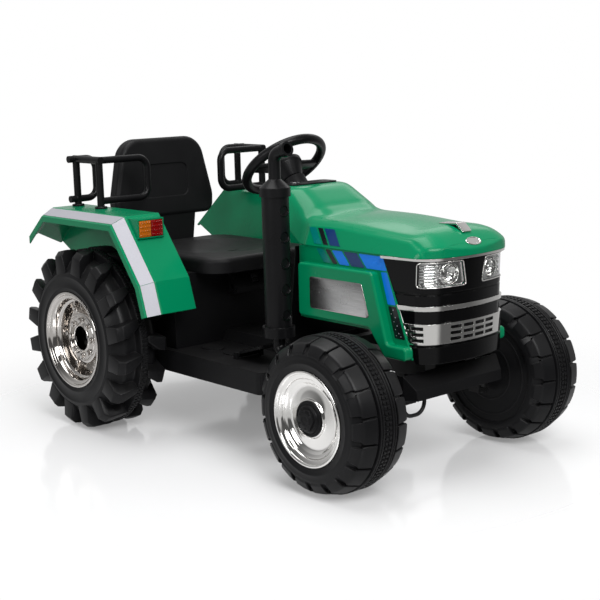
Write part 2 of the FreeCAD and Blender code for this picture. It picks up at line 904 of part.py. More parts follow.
def tie_rod():
    """Bar with an eye at each end and a slotted plate in the middle."""
    low = tie_rod_z - tie_eye_height / 2
    bar = rod(V(tie_rod_x, -kingpin_y, tie_rod_z), V(tie_rod_x, kingpin_y, tie_rod_z), tie_rod_radius)
    half = tie_plate_width / 2
    plate = block(tie_rod_x - tie_plate_length / 2, tie_rod_x + tie_plate_length / 2, -half, half,
                  low, low + tie_eye_height)
    eyes = []
    bores = []
    for side in (-1, 1):
        foot = V(tie_rod_x, side * kingpin_y, low)
        eyes.append(Part.makeCylinder(tie_eye_radius, tie_eye_height, foot))
        bores.append(Part.makeCylinder(tie_pin_radius + running_gap, tie_eye_height + 2 * overrun,
                                       foot - V(0, 0, overrun)))
    slot = shaft_radius + tie_slot_play
    bores.append(block(tie_rod_x - tie_slot_back, tie_rod_x + tie_slot_ahead, -slot, slot,
                       low - overrun, low + tie_eye_height + overrun))
    return joined([bar, plate] + eyes).cut(Part.makeCompound(bores))


def knuckle():
    """Right steering knuckle: sleeve, stub axle, steering arm and tie rod pin."""
    foot = V(wheelbase, -kingpin_y, knuckle_low_z)
    sleeve = Part.makeCylinder(knuckle_radius, knuckle_high_z - knuckle_low_z, foot)
    disc_y = front_tyre_inner_y + front_tyre_width - front_rim_depth
    axle_start = V(wheelbase, -kingpin_y, front_tyre_radius)
    stub = rod(axle_start, V(wheelbase, -disc_y - retainer_height, front_tyre_radius), axle_radius)
    stop = rod(V(wheelbase, -disc_y - fit_gap, front_tyre_radius),
               V(wheelbase, -disc_y - retainer_height, front_tyre_radius), retainer_radius)
    inner_y = front_tyre_inner_y + front_disc_recess
    collar = rod(axle_start, V(wheelbase, fit_gap - inner_y, front_tyre_radius), retainer_radius)
    arm_face = [(wheelbase, -kingpin_y - tie_eye_radius), (wheelbase, tie_eye_radius - kingpin_y),
                (tie_rod_x, tie_pin_radius + thin_wall - kingpin_y),
                (tie_rod_x, -tie_pin_radius - thin_wall - kingpin_y)]
    arm = plan_prism(arm_face, knuckle_arm_z, knuckle_arm_z + knuckle_arm_height)
    end = V(tie_rod_x, -kingpin_y, knuckle_arm_z)
    arm_end = Part.makeCylinder(tie_pin_radius + thin_wall, knuckle_arm_height, end)
    pin_low = tie_rod_z - tie_eye_height
    pin = Part.makeCylinder(tie_pin_radius, knuckle_arm_z + knuckle_arm_height - pin_low,
                            V(tie_rod_x, -kingpin_y, pin_low))
    body = joined([sleeve, stub, stop, collar, arm, arm_end, pin])
    bore = Part.makeCylinder(kingpin_radius + running_gap, knuckle_high_z - knuckle_low_z + 2 * overrun,
                             foot - V(0, 0, overrun))
    return body.cut(bore)


def front_axle_beam():
    """Beam with a forked end for each knuckle and a pedestal under the subframe."""
    z = front_tyre_radius
    x0 = wheelbase - beam_half_depth
    x1 = wheelbase + beam_half_depth
    body = block(x0, x1, -beam_half_length, beam_half_length, z - beam_half_height, z + beam_half_height)
    hollow = block(x0 - overrun, x1 - beam_plate, rail_outer_y, beam_half_length - beam_plate,
                   z - beam_half_height + beam_plate, z + beam_half_height - beam_plate)
    body = body.cut(hollow).cut(mirrored(hollow))
    body = body.fuse(block(x0, x1, -rail_outer_y, rail_outer_y, z, rail_low_z))
    low_ear = knuckle_low_z - ear_play - ear_height
    high_ear = knuckle_high_z + ear_play
    pieces = [body]
    bores = []
    for side in (-1, 1):
        low, high = sorted((side * (beam_half_length - beam_plate), side * beam_half_length))
        pieces.append(block(x0, x1, low, high, low_ear, high_ear + ear_height))
        ear_low, ear_high = sorted((side * beam_half_length, side * kingpin_y))
        for ear_z in (low_ear, high_ear):
            pieces.append(block(x0, x1, ear_low, ear_high, ear_z, ear_z + ear_height))
            pieces.append(Part.makeCylinder(beam_half_depth, ear_height,
                                            V(wheelbase, side * kingpin_y, ear_z)))
        bores.append(Part.makeCylinder(kingpin_radius + fit_gap,
                                       high_ear + ear_height - low_ear + 2 * overrun,
                                       V(wheelbase, side * kingpin_y, low_ear - overrun)))
    return joined(pieces).cut(Part.makeCompound(bores))


def kingpins():
    """Pair of headed pins through the forks and the knuckles."""
    pins = []
    low = knuckle_low_z - ear_play - ear_height - kingpin_head
    high = knuckle_high_z + ear_play + ear_height
    for side in (-1, 1):
        foot = V(wheelbase, side * kingpin_y, low)
        pin = Part.makeCylinder(kingpin_radius, high - low + kingpin_head, foot)
        head = Part.makeCylinder(kingpin_head_radius, kingpin_head, V(foot.x, foot.y, high))
        nut = Part.makeCylinder(kingpin_head_radius, kingpin_head, foot)
        pins.append(joined([pin, head, nut]))
    return Part.makeCompound(pins)


def front_subframe():
    """Ladder frame of two channel rails, two cross bars and a bolted foot."""
    front = nose_x - rail_front_gap
    rails = []
    for side in (-1, 1):
        low, high = sorted((side * rail_inner_y, side * rail_outer_y))
        rail = block(tub_front_x, front, low, high, rail_low_z, rail_high_z)
        open_low, open_high = sorted((side * (rail_inner_y - overrun), side * (rail_outer_y - rail_web)))
        rails.append(rail.cut(block(tub_front_x + subframe_foot, front - subframe_foot, open_low, open_high,
                                    rail_low_z + rail_web, rail_high_z - rail_web)))
    ahead = front - cross_front_back
    behind = tub_front_x + cross_rear_ahead
    bars = [block(place, place + cross_width, -rail_outer_y, rail_outer_y, rail_low_z, rail_high_z)
            for place in (behind, ahead)]
    foot = block(tub_front_x, tub_front_x + subframe_foot, -rail_outer_y, rail_outer_y,
                 subframe_foot_low_z, rail_high_z)
    return joined(rails + bars + [foot])


# Chassis, seat box and drive
def leaf(x, y, length, half_width, z, height):
    """Leaf-shaped grip pad on the floor."""
    rear = V(x, y, z)
    front = V(x + length, y, z)
    one = Part.Arc(rear, V(x + length / 2, y - half_width, z), front).toShape()
    two = Part.Arc(front, V(x + length / 2, y + half_width, z), rear).toShape()
    return Part.Face(Part.Wire([one, two])).extrude(V(0, 0, height))


def pedal_bearing():
    """Two floor ears and the pin that carry the pedal."""
    z = floor_z + pedal_hinge_lift
    inner = pedal_half_width + pedal_ear_gap
    pieces = []
    for side in (-1, 1):
        low, high = sorted((side * inner, side * (inner + pedal_ear_width)))
        pieces.append(block(pedal_hinge_x - pedal_barrel_radius, pedal_hinge_x + pedal_barrel_radius,
                            low - pedal_y, high - pedal_y, floor_z, z + pedal_barrel_radius))
    pieces.append(rod(V(pedal_hinge_x, -pedal_y - inner, z), V(pedal_hinge_x, inner - pedal_y, z),
                      pedal_pin_radius))
    return pieces


def chassis_tub():
    """Ribbed floor tub with a tunnel, grip pads, pedal ears and a tow hitch."""
    outer = both_sides([(tub_half_width, tub_low_z), (tub_half_width, floor_z)])
    inner = both_sides([(tub_half_width - wall, tub_low_z - overrun),
                        (tub_half_width - wall, floor_z - wall)])
    body = end_prism(outer, -tub_rear_x, tub_front_x)
    corners = [V(-tub_rear_x, -tub_half_width, tub_low_z), V(tub_front_x, -tub_half_width, tub_low_z),
               V(tub_front_x, tub_half_width, tub_low_z), V(-tub_rear_x, tub_half_width, tub_low_z)]
    plan = Part.Face(rounded_wire(corners, tub_corner)).extrude(V(0, 0, floor_z - tub_low_z))
    body = body.common(plan)
    hollow = end_prism(inner, wall - tub_rear_x, tub_front_x - wall)
    tunnel = both_sides([(tunnel_half_width, floor_z - wall), (tunnel_half_width - tunnel_slope, tunnel_z)])
    tunnel_low = both_sides([(tunnel_half_width - wall, floor_z - 2 * wall),
                             (tunnel_half_width - tunnel_slope - wall, tunnel_z - wall)])
    body = body.fuse(end_prism(tunnel, seat_box_front_x, tub_front_x))
    body = body.cut(hollow).cut(end_prism(tunnel_low, seat_box_front_x + wall, tub_front_x - wall))
    pieces = [body]
    span = tub_front_x + tub_rear_x
    for place in range(tub_rib_count):
        x = span * (place + 1) / (tub_rib_count + 1) - tub_rear_x
        pieces.append(block(x, x + wall, wall - tub_half_width, tub_half_width - wall,
                            tub_low_z, floor_z - wall))
    for side in (-1, 1):
        for place in range(pad_count):
            if side > 0 or pad_first_x + place * pad_pitch + pad_length < pedal_hinge_x - pedal_barrel_radius:
                pieces.append(leaf(pad_first_x + place * pad_pitch, side * pad_y, pad_length, pad_half_width,
                                   floor_z - wall / 2, pad_height + wall / 2))
    pieces.append(block(-tub_rear_x - hitch_length, wall - tub_rear_x, -hitch_half_width, hitch_half_width,
                        tub_low_z, tub_low_z + hitch_height))
    tub = joined(pieces + pedal_bearing())
    hole = Part.makeCylinder(hitch_hole_radius, hitch_height + 2 * overrun,
                             V(hitch_hole_back - tub_rear_x - hitch_length, 0, tub_low_z - overrun))
    return tub.cut(hole)


def seat_box():
    """Open-bottomed box that carries seat, fenders and drive."""
    outline = [(seat_box_front_x, floor_z), (seat_box_front_x, deck_z), (-seat_box_rear_x, deck_z),
               (seat_box_rear_lean - seat_box_rear_x, floor_z)]
    inner = [(seat_box_front_x - wall, floor_z - overrun), (seat_box_front_x - wall, deck_z - wall),
             (wall - seat_box_rear_x, deck_z - wall),
             (seat_box_rear_lean + wall - seat_box_rear_x, floor_z - overrun)]
    box = side_prism(outline, -seat_box_half_width, seat_box_half_width)
    box = box.cut(side_prism(inner, wall - seat_box_half_width, seat_box_half_width - wall))
    far = seat_box_half_width + overrun
    return box.cut(rod(V(0, -far, rear_tyre_radius), V(0, far, rear_tyre_radius), boss_hole_radius))


def console_slope():
    """Middle of the console's sloping face and its direction down the slope."""
    top = V(seat_box_front_x + console_top_depth, 0, console_high_z)
    low = V(seat_box_front_x + console_depth, 0, console_low_z + console_foot + console_lip)
    return (top + low) / 2, low - top


def rocker_outline(grow):
    """Rocker outline along its slope (x) and out of it (z)."""
    tip = rocker_half_length + grow
    heel = rocker_half_length * rocker_tip_share + grow
    return [(-tip, rocker_rise), (0, rocker_rise - rocker_dip), (tip, rocker_rise),
            (heel, -rocker_depth - grow), (-heel, -rocker_depth - grow)]


def on_console(shape):
    """Set a piece made at the origin onto the console's sloping face."""
    middle, down = console_slope()
    shape.rotate(V(0, 0, 0), V(0, 1, 0), math.degrees(math.atan2(-down.z, down.x)))
    shape.translate(middle)
    return shape


def direction_rocker():
    """Two-way rocker that tips about its middle."""
    return on_console(side_prism(rocker_outline(0), -rocker_half_width, rocker_half_width))


def switch_console():
    """Sloping console under the seat with the rocker well and the charging socket."""
    x = seat_box_front_x
    outline = [(x, console_low_z), (x + console_depth, console_low_z + console_foot),
               (x + console_depth, console_low_z + console_foot + console_lip),
               (x + console_top_depth, console_high_z), (x, console_high_z)]
    body = side_prism(outline, -console_half_width, console_half_width)
    grow = rocker_clearance
    foot = rocker_outline(grow)[3:]
    mouth = rocker_half_length + 2 * grow
    well = [(-mouth, overrun), (mouth, overrun)] + foot
    pocket = on_console(side_prism(well, -rocker_half_width - button_gap, rocker_half_width + button_gap))
    end = V(x + socket_ahead, -console_half_width, console_low_z + socket_lift)
    mouth_y = V(0, socket_rim_height, 0)
    rim = rod(end + V(0, overrun, 0), end - mouth_y, socket_rim_radius)
    bore = rod(end - mouth_y + V(0, socket_depth, 0), end - V(0, overrun, 0), socket_radius)
    return body.cut(pocket).fuse(rim).removeSplitter().cut(bore)


def gear_motor():
    """Right gearbox around the axle with its motor."""
    outer_y = seat_box_half_width - wall
    inner_y = outer_y - gearbox_width
    axle = V(0, -outer_y, rear_tyre_radius)
    motor = V(-gearbox_reach, -outer_y, rear_tyre_radius + gearbox_lift)
    way = V(0, gearbox_width, 0)
    big = Part.makeCylinder(gearbox_radius, gearbox_width, axle, way)
    small = Part.makeCylinder(gearbox_small_radius, gearbox_width, motor, way)
    bridge = side_prism([(axle.x, axle.z + gearbox_radius), (motor.x, motor.z + gearbox_small_radius),
                         (motor.x, motor.z - gearbox_small_radius), (axle.x, axle.z - gearbox_small_radius)],
                        -outer_y, -inner_y)
    floor_cut = block(-gearbox_radius - overrun, gearbox_radius + overrun,
                      -outer_y - overrun, overrun - inner_y,
                      rear_tyre_radius - gearbox_radius - overrun, floor_z)
    can = rod(V(motor.x, -inner_y - overrun, motor.z), V(motor.x, motor_length - inner_y, motor.z),
              motor_radius)
    body = joined([big, small, bridge, can]).cut(floor_cut)
    socket = rod(axle - V(0, overrun, 0), axle + V(0, gearbox_socket_depth, 0), boss_hole_radius)
    bore = rod(axle - V(0, overrun, 0), axle + way + V(0, overrun, 0), axle_radius + fit_gap)
    return body.cut(socket).cut(bore)


def rear_axle():
    """Plain steel axle across both rear wheels."""
    return rod(V(0, -axle_end_y, rear_tyre_radius), V(0, axle_end_y, rear_tyre_radius), axle_radius)


def axle_nuts():
    """Pair of nuts that hold the rear wheels on their axle."""
    face = rear_tyre_inner_y + rear_tyre_width - rear_rim_depth + fit_gap
    nuts = []
    for side in (-1, 1):
        nut = prism_of_hex(axle_nut_radius, V(0, side * face, rear_tyre_radius), V(0, side, 0),
                           axle_nut_height)
        bore = rod(V(0, 0, rear_tyre_radius), V(0, side * (axle_end_y + overrun), rear_tyre_radius),
                   axle_radius + running_gap)
        nuts.append(nut.cut(bore))
    return Part.makeCompound(nuts)


def battery():
    """Lidded battery with two posts on the floor of the seat box."""
    body = block(battery_x, battery_x + battery_length, -battery_half_width, battery_half_width,
                 floor_z, floor_z + battery_height)
    step = battery_lid_step
    lid = block(battery_x + step, battery_x + battery_length - step, step - battery_half_width,
                battery_half_width - step, floor_z + battery_height,
                floor_z + battery_height + battery_lid_height)
    posts = [Part.makeCylinder(battery_post_radius, battery_lid_height + battery_post_height,
                               V(battery_x + battery_length / 2,
                                 side * battery_post_share * battery_half_width,
                                 floor_z + battery_height)) for side in (-1, 1)]
    return joined([body, lid] + posts)


def accelerator_pedal():
    """Ribbed foot plate that tips about a pin at its heel."""
    z = floor_z + pedal_hinge_lift
    plate = block(0, pedal_length, -pedal_half_width, pedal_half_width,
                  pedal_barrel_radius - pedal_thickness, pedal_barrel_radius)
    rounded = rounded_wire([V(0, -pedal_half_width, 0), V(pedal_length, -pedal_half_width, 0),
                            V(pedal_length, pedal_half_width, 0), V(0, pedal_half_width, 0)],
                            2 * pedal_barrel_radius)
    mask = Part.Face(rounded).extrude(V(0, 0, 2 * pedal_barrel_radius))
    pieces = [plate.common(mask)]
    for place in range(pedal_rib_count):
        x = pedal_length * (place + 1) / (pedal_rib_count + 1)
        pieces.append(block(x, x + pedal_rib_width, pedal_rib_width - pedal_half_width,
                            pedal_half_width - pedal_rib_width, 0, pedal_barrel_radius + pedal_rib_height))
    barrel = rod(V(0, -pedal_half_width, 0), V(0, pedal_half_width, 0), pedal_barrel_radius)
    far = pedal_half_width + overrun
    bore = rod(V(0, -far, 0), V(0, far, 0), pedal_pin_radius + running_gap)
    pedal = joined(pieces + [barrel]).cut(bore)
    pedal.rotate(V(0, 0, 0), V(0, 1, 0), -pedal_slope_deg)
    pedal.translate(V(pedal_hinge_x, -pedal_y, z))
    return pedal


# Seat
def seat_pan():
    """Dished hard seat, hollow underneath, with a drain slot."""
    corners = [V(-seat_rear_x, -seat_half_width, deck_z), V(seat_front_x, -seat_half_width, deck_z),
               V(seat_front_x, seat_half_width, deck_z), V(-seat_rear_x, seat_half_width, deck_z)]
    outline = Part.Face(rounded_wire(corners, seat_corner))
    body = outline.extrude(V(0, 0, seat_thickness))
    top = max(body.Faces, key=lambda face: face.CenterOfMass.z)
    body = body.makeFillet(seat_edge, top.Edges)
    middle_x = (seat_front_x - seat_rear_x) / 2
    top_z = deck_z + seat_thickness
    dish = Part.makeSphere(seat_dish_radius, V(middle_x, 0, top_z - seat_dish_depth + seat_dish_radius))
    hollow = outline.makeOffset2D(-seat_shell).extrude(V(0, 0, seat_thickness - seat_dish_depth - seat_shell))
    front_hollow = hollow.common(block(seat_box_front_x + wall, seat_front_x,
                                       -seat_half_width, seat_half_width,
                                       deck_z, top_z))
    slot_low = V(seat_slot_x, -seat_slot_half_length, deck_z - overrun)
    slot = block(seat_slot_x - seat_slot_radius, seat_slot_x + seat_slot_radius, -seat_slot_half_length,
                 seat_slot_half_length, deck_z - overrun, top_z + overrun)
    ends = [Part.makeCylinder(seat_slot_radius, seat_thickness + 2 * overrun, place)
            for place in (slot_low, slot_low + V(0, 2 * seat_slot_half_length, 0))]
    return body.cut(dish).cut(front_hollow).cut(slot).cut(Part.makeCompound(ends))


def seat_back():
    """Upright back with rounded shoulders on a tapered neck."""
    outline = both_sides([(seat_back_low_half_width, seat_back_low_z),
                          (seat_back_half_width, seat_back_shoulder_z),
                          (seat_back_top_half_width, seat_back_top_z)])
    rear = -seat_back_x - seat_back_thickness
    points = [V(rear, y, z) for y, z in outline]
    back = Part.Face(rounded_wire(points, seat_back_corner)).extrude(V(seat_back_thickness, 0, 0))
    rims = [edge for face in back.Faces if abs(face.normalAt(0, 0).x) > flat_share for edge in face.Edges]
    back = back.makeFillet(seat_back_edge, rims)
    panel_points = [V(-seat_back_x - back_panel_depth, y, z)
                    for y, z in both_sides([(back_panel_half_width, back_panel_low_z),
                                            (back_panel_half_width, back_panel_high_z)])]
    panel = Part.Face(rounded_wire(panel_points, back_panel_corner))
    panel = panel.extrude(V(back_panel_depth + overrun, 0, 0))
    back = back.cut(panel)
    back.rotate(V(-seat_back_x, 0, seat_back_low_z), V(0, 1, 0), -seat_back_lean_deg)
    middle = -seat_back_x - seat_back_thickness / 2
    neck = end_prism(both_sides([(seat_neck_half_width, deck_z),
                                 (seat_neck_top_half_width, seat_back_low_z + seat_back_edge + overrun)]),
                     middle - seat_neck_thickness / 2, middle + seat_neck_thickness / 2)
    return joined([back, neck])


# Bonnet, cowl, dash and toe board
def hood_section(place, inset):
    """One cross section of the bonnet."""
    x = hood_rear_x + hood_station_shares[place] * (hood_front_x - hood_rear_x)
    low = seam_z - (overrun if inset else 0)
    crown = max(seam_z + hood_rise * hood_crown_shares[place] - inset, seam_z - inset / 2)
    side = max(seam_z + hood_rise * hood_side_shares[place] - inset, crown - hood_rise)
    side = min(side, crown - fit_gap)
    crease = min(seam_z + hood_rise * hood_crease_shares[place] - inset, side - fit_gap)
    crown_y = hood_crown_half_width - inset
    crease_y = hood_crease_half_width - inset
    low_y = body_half_width - inset
    left = [V(x, crown_y, side), V(x, crease_y, crease), V(x, low_y, low)]
    right = [V(point.x, -point.y, point.z) for point in left]
    edges = [Part.Arc(right[0], V(x, 0, crown), left[0]).toShape()]
    ring = [left[0], left[1], left[2], right[2], right[1], right[0]]
    for start, end in zip(ring, ring[1:]):
        edges.append(Part.LineSegment(start, end).toShape())
    return Part.Wire(edges)


def hood_body(inset):
    """Bonnet form as a solid: a loft through its cross sections, carried back under the cowl."""
    front = Part.makeLoft([hood_section(place, inset) for place in range(len(hood_station_shares))], True)
    reach = cowl_rear_x - hood_rear_x - (overrun if inset else 0)
    return front.fuse(Part.Face(hood_section(0, inset)).extrude(V(reach, 0, 0)))


def cowl_wire(inset, z, half_width, front_x, corner):
    """Plan outline of the cowl at one height, with rounded front corners."""
    y = half_width - inset
    rear_x = cowl_rear_x + inset
    points = [V(rear_x, -y, z), V(front_x - inset, -y, z), V(front_x - inset, y, z), V(rear_x, y, z)]
    rear = cowl_rear_corner - inset
    return rounded_wire(points, corner, [rear, corner - inset, corner - inset, rear])


def cowl_body(inset):
    """Cowl form as a solid: ruled sides under a rounded top edge."""
    foot = cowl_wire(inset, cowl_foot_z, hood_crease_half_width, cowl_foot_x, cowl_foot_corner)
    top_z = cowl_top_z - inset
    top = cowl_wire(inset, top_z, cowl_top_half_width, cowl_top_x, cowl_top_corner)
    body = Part.makeLoft([foot, top], True, True)
    edges = [edge for edge in body.Edges if edge.BoundBox.ZMin > top_z - fit_gap]
    body = body.makeFillet(cowl_edge - inset, edges)
    return body.fuse(Part.Face(foot).extrude(V(0, 0, -2 * overrun))) if inset else body


def dash_outline(grow, z):
    """Plan outline of the dash opening, or of the dash plate over it."""
    rear_x = cowl_rear_x + dash_rear_gap - grow
    front_x = cowl_rear_x + dash_rear_gap + dash_length + grow
    y = dash_half_width + grow
    points = [V(rear_x, -y, z), V(front_x, -y, z), V(front_x, y, z), V(rear_x, y, z)]
    return Part.Face(rounded_wire(points, dash_corner + grow))


def hood():
    """Bonnet and cowl in one hollow moulding with a swept rear edge."""
    trim = Part.Face(fascia_wire(-hood_lip, seam_z, cowl_rear_x - overrun)).extrude(V(0, 0, 2 * hood_rise))
    outer = hood_body(0).common(trim).fuse(cowl_body(0))
    inner = Part.Face(fascia_wire(thin_wall - hood_lip, seam_z, cowl_rear_x - 2 * overrun))
    inner.translate(V(0, 0, -overrun))
    cavity = hood_body(thin_wall).common(inner.extrude(V(0, 0, 2 * hood_rise)))
    opening = dash_outline(0, cowl_top_z - 2 * thin_wall).extrude(V(0, 0, 2 * thin_wall + overrun))
    shell = outer.cut([cavity, cowl_body(thin_wall)], cut_tolerance).cut(opening)
    far = body_half_width + overrun
    sweep = side_prism([(cowl_sweep_x, seam_z), (cowl_rear_x, cowl_sweep_rear_z),
                        (cowl_rear_x - overrun, cowl_sweep_rear_z), (cowl_rear_x - overrun, seam_z - overrun),
                        (cowl_sweep_x, seam_z - overrun)], -far, far)
    column = rod(column_point(0), column_point(shroud_low + overrun), shroud_radius + fit_gap)
    return shell.cut(sweep).cut(column).removeSplitter()


def dash_panel():
    """Plate over the cowl opening with the steering column shroud and a button well."""
    plate = dash_outline(dash_flange, cowl_top_z).extrude(V(0, 0, dash_thickness))
    plug = dash_outline(-fit_gap, cowl_top_z).extrude(V(0, 0, -dash_plug))
    shroud = Part.makeCone(shroud_top_radius, shroud_radius, shroud_low - shroud_top,
                           column_point(shroud_top), column_down)
    body = joined([plate, plug, shroud])
    hole = rod(column_point(0), column_point(shroud_low + overrun), shaft_radius + 2 * wall)
    deck = cowl_top_z + dash_thickness
    low_z = deck + power_button_proud - power_button_height - button_travel - button_gap
    well = Part.makeCylinder(power_button_radius + button_gap, power_button_height + overrun,
                             V(power_button_x, -power_button_y, low_z))
    return body.cut(hole).cut(well)


def power_button():
    """Round push button on the dash."""
    low = cowl_top_z + dash_thickness + power_button_proud - power_button_height
    button = Part.makeCylinder(power_button_radius, power_button_height,
                               V(power_button_x, -power_button_y, low))
    rim = [edge for edge in button.Edges if edge.CenterOfMass.z > low + power_button_height - fit_gap]
    return button.makeChamfer(power_button_proud / 2, rim)


def toe_board():
    """Sloping front wall of the footwell with the column bearing."""
    outline = [(toe_low_x, floor_z), (toe_low_x + wall, floor_z), (toe_high_x + wall, toe_high_z),
               (toe_high_x, toe_high_z)]
    board = side_prism(outline, -toe_half_width, toe_half_width)
    notch = end_prism(both_sides([(tunnel_half_width + fit_gap, floor_z - wall),
                                  (tunnel_half_width - tunnel_slope + fit_gap, tunnel_z + fit_gap)]),
                      toe_low_x - overrun, toe_high_x + overrun)
    slope = (toe_high_x - toe_low_x) / (toe_high_z - floor_z)
    ahead = toe_low_x + slope * (steering_z - floor_z) - steering_x
    reach = ahead / (math.sin(tilt) + slope * math.cos(tilt))
    middle = column_point(reach)
    half = column_down * (bearing_length / 2)
    boss = rod(middle - half, middle + half, bearing_radius)
    bore = rod(middle - half * 2, middle + half * 2, shaft_radius + running_gap)
    return board.cut(notch).fuse(boss).removeSplitter().cut(bore)


# Nose
def fascia_wire(inset, z, rear_x):
    """Plan outline of the nose at one height, set in by a distance."""
    setback = nose_draft * (seam_z - z) / (seam_z - nose_low_z)
    corner = V(nose_x - nose_corner_back - setback - inset * nose_corner_normal_shares[0],
               nose_corner_y - inset * nose_corner_normal_shares[1], z)
    middle = V(nose_x - nose_mid_back - setback - inset * nose_mid_normal_shares[0],
               nose_mid_y - inset * nose_mid_normal_shares[1], z)
    cheek = V(nose_x - nose_cheek_back - setback - inset * nose_cheek_normal_shares[0],
              nose_cheek_y - inset * nose_cheek_normal_shares[1], z)
    slope = (nose_side_y - nose_cheek_y) / (nose_side_back - nose_cheek_back)
    rear = V(rear_x, cheek.y + slope * (cheek.x - rear_x), z)
    nose = V(nose_x - setback - inset, 0, z)

    def right(point):
        return V(point.x, -point.y, point.z)

    return Part.Wire([Part.LineSegment(rear, cheek).toShape(), Part.Arc(cheek, middle, corner).toShape(),
                      Part.Arc(corner, nose, right(corner)).toShape(),
                      Part.Arc(right(corner), right(middle), right(cheek)).toShape(),
                      Part.LineSegment(right(cheek), right(rear)).toShape(),
                      Part.LineSegment(right(rear), rear).toShape()])


def nose_body(inset, low=nose_low_z, high=seam_z):
    """Nose form as a solid between two heights."""
    rear_x = nose_x - fascia_end_top_back - 2 * overrun
    return Part.makeLoft([fascia_wire(inset, low, rear_x), fascia_wire(inset, high, rear_x)], True, True)


def nose_ring(outset, low, high):
    """Band that lies on the nose between two heights."""
    return nose_body(-outset, low, high).cut(nose_body(0, low, high))


def fascia_end(floor_half_width=0):
    """Everything behind the slanting side ends of the fascia, but for the floor in the middle."""
    top_x = nose_x - fascia_end_top_back
    low_x = nose_x - fascia_end_low_back
    far = nose_side_y + 2 * overrun
    lean = (low_x - top_x) / (seam_z - nose_low_z)
    behind = side_prism([(top_x - lean * overrun, seam_z + overrun),
                         (low_x + lean * overrun, nose_low_z - overrun),
                         (top_x - 2 * far, nose_low_z - overrun), (top_x - 2 * far, seam_z + overrun)],
                        -far, far)
    if floor_half_width:
        behind = behind.cut(block(top_x - 2 * far, nose_x, -floor_half_width, floor_half_width,
                                  nose_low_z - overrun, nose_low_z + wall))
    return behind


def lamp_outline(grow):
    """Outline of the right headlamp seen from the front."""
    return [(-lamp_inner_top_y + grow, lamp_top_z + grow), (-lamp_inner_low_y + grow, lamp_low_z - grow),
            (-lamp_outer_y - grow, lamp_low_z - grow), (-lamp_outer_y - grow, lamp_top_z + grow)]


def lamp_prism(grow):
    """Bar with the headlamp outline through the nose."""
    points = [V(nose_x - nose_side_back, y, z) for y, z in lamp_outline(grow)]
    return Part.Face(rounded_wire(points, lamp_edge)).extrude(V(nose_side_back + overrun, 0, 0))


def front_fascia():
    """Hollow black nose with lamp openings, a groove and a lower lip."""
    shell = nose_body(0).cut(nose_body(wall, nose_low_z + wall, seam_z + overrun))
    lip = nose_body(-fascia_lip_proud, nose_low_z, fascia_lip_high_z).cut(
        nose_body(wall, nose_low_z + wall, fascia_lip_high_z + overrun))
    shell = shell.fuse(lip)
    groove = nose_body(-overrun, fascia_groove_z, fascia_groove_z + fascia_groove_height).cut(
        nose_body(fascia_groove_depth, fascia_groove_z, fascia_groove_z + fascia_groove_height))
    lamp = lamp_prism(0)
    floor_hole = block(nose_x - 2 * nose_side_back, nose_x - rail_front_gap - overrun,
                       -rail_inner_y, rail_inner_y,
                       nose_low_z - overrun, nose_low_z + 2 * wall)
    shell = shell.cut(groove).cut(lamp).cut(mirrored(lamp))
    shell = shell.cut(fascia_end(rail_outer_y + overrun)).cut(floor_hole)
    return max(shell.Solids, key=lambda solid: solid.Volume)


def headlamp_lens():
    """Clear cover that follows the nose."""
    skin = nose_body(lamp_lens_inset).cut(nose_body(lamp_lens_inset + lamp_lens_thickness))
    return skin.common(lamp_prism(-fit_gap)).Solids[0]


def headlamp_bowl():
    """Reflector housing with a round dish and a stepped side pocket."""
    front = wall + fit_gap
    body = nose_body(front).cut(nose_body(lamp_bowl_depth)).common(lamp_prism(lamp_bowl_flange))
    middle_z = (lamp_top_z + lamp_low_z) / 2
    dish = Part.makeCone(lamp_dish_radius / 2, lamp_dish_radius, lamp_dish_depth,
                         V(nose_x - wall - lamp_dish_depth - nose_corner_back, -lamp_dish_y, middle_z),
                         V(1, 0, 0))
    mouth = rod(V(nose_x - wall - nose_corner_back, -lamp_dish_y, middle_z),
                V(nose_x, -lamp_dish_y, middle_z),
                lamp_dish_radius)
    pocket = nose_body(0).cut(nose_body(front + lamp_step_depth)).common(
        block(nose_x - nose_side_back, nose_x, -lamp_outer_y + lamp_edge, -lamp_step_inner_y,
              lamp_low_z + lamp_edge, lamp_top_z - lamp_edge))
    return body.cut(dish).cut(mouth).cut(pocket).Solids[0]


def hood_edge_trim():
    """Bright line between the bonnet and the nose."""
    ring = nose_ring(trim_proud, seam_z - trim_height, seam_z)
    return ring.cut(fascia_end()).Solids[0]


def fascia_strip():
    """Bright strip round the nose."""
    return nose_ring(strip_proud, strip_z, strip_z + strip_height).cut(fascia_end()).Solids[0]


def lower_grille():
    """Bright lower grille with rows of slots in the front and the sides."""
    band = nose_ring(grille_proud, grille_low_z, grille_high_z).cut(fascia_end())
    row = (grille_high_z - grille_low_z - grille_bar) / grille_rows
    column = 2 * grille_slot_half_span / grille_columns
    side_span = grille_side_rear_back - grille_side_front_back
    side_column = side_span / grille_side_columns
    slots = []
    for level in range(grille_rows):
        z0 = grille_low_z + grille_bar + level * row
        z1 = z0 + row - grille_bar
        for place in range(grille_columns):
            y0 = place * column - grille_slot_half_span + grille_bar / 2
            slots.append(block(nose_x - nose_cheek_back, nose_x + overrun,
                               y0, y0 + column - grille_bar, z0, z1))
        for place in range(grille_side_columns):
            x0 = nose_x - grille_side_rear_back + place * side_column + grille_bar / 2
            x1 = x0 + side_column - grille_bar
            far = nose_side_y + 2 * overrun
            slots.append(block(x0, x1, -far, -nose_corner_y - grille_bar, z0, z1))
            slots.append(block(x0, x1, nose_corner_y + grille_bar, far, z0, z1))
    grille = band.cut(Part.makeCompound(slots))
    return max(grille.Solids, key=lambda solid: solid.Volume)


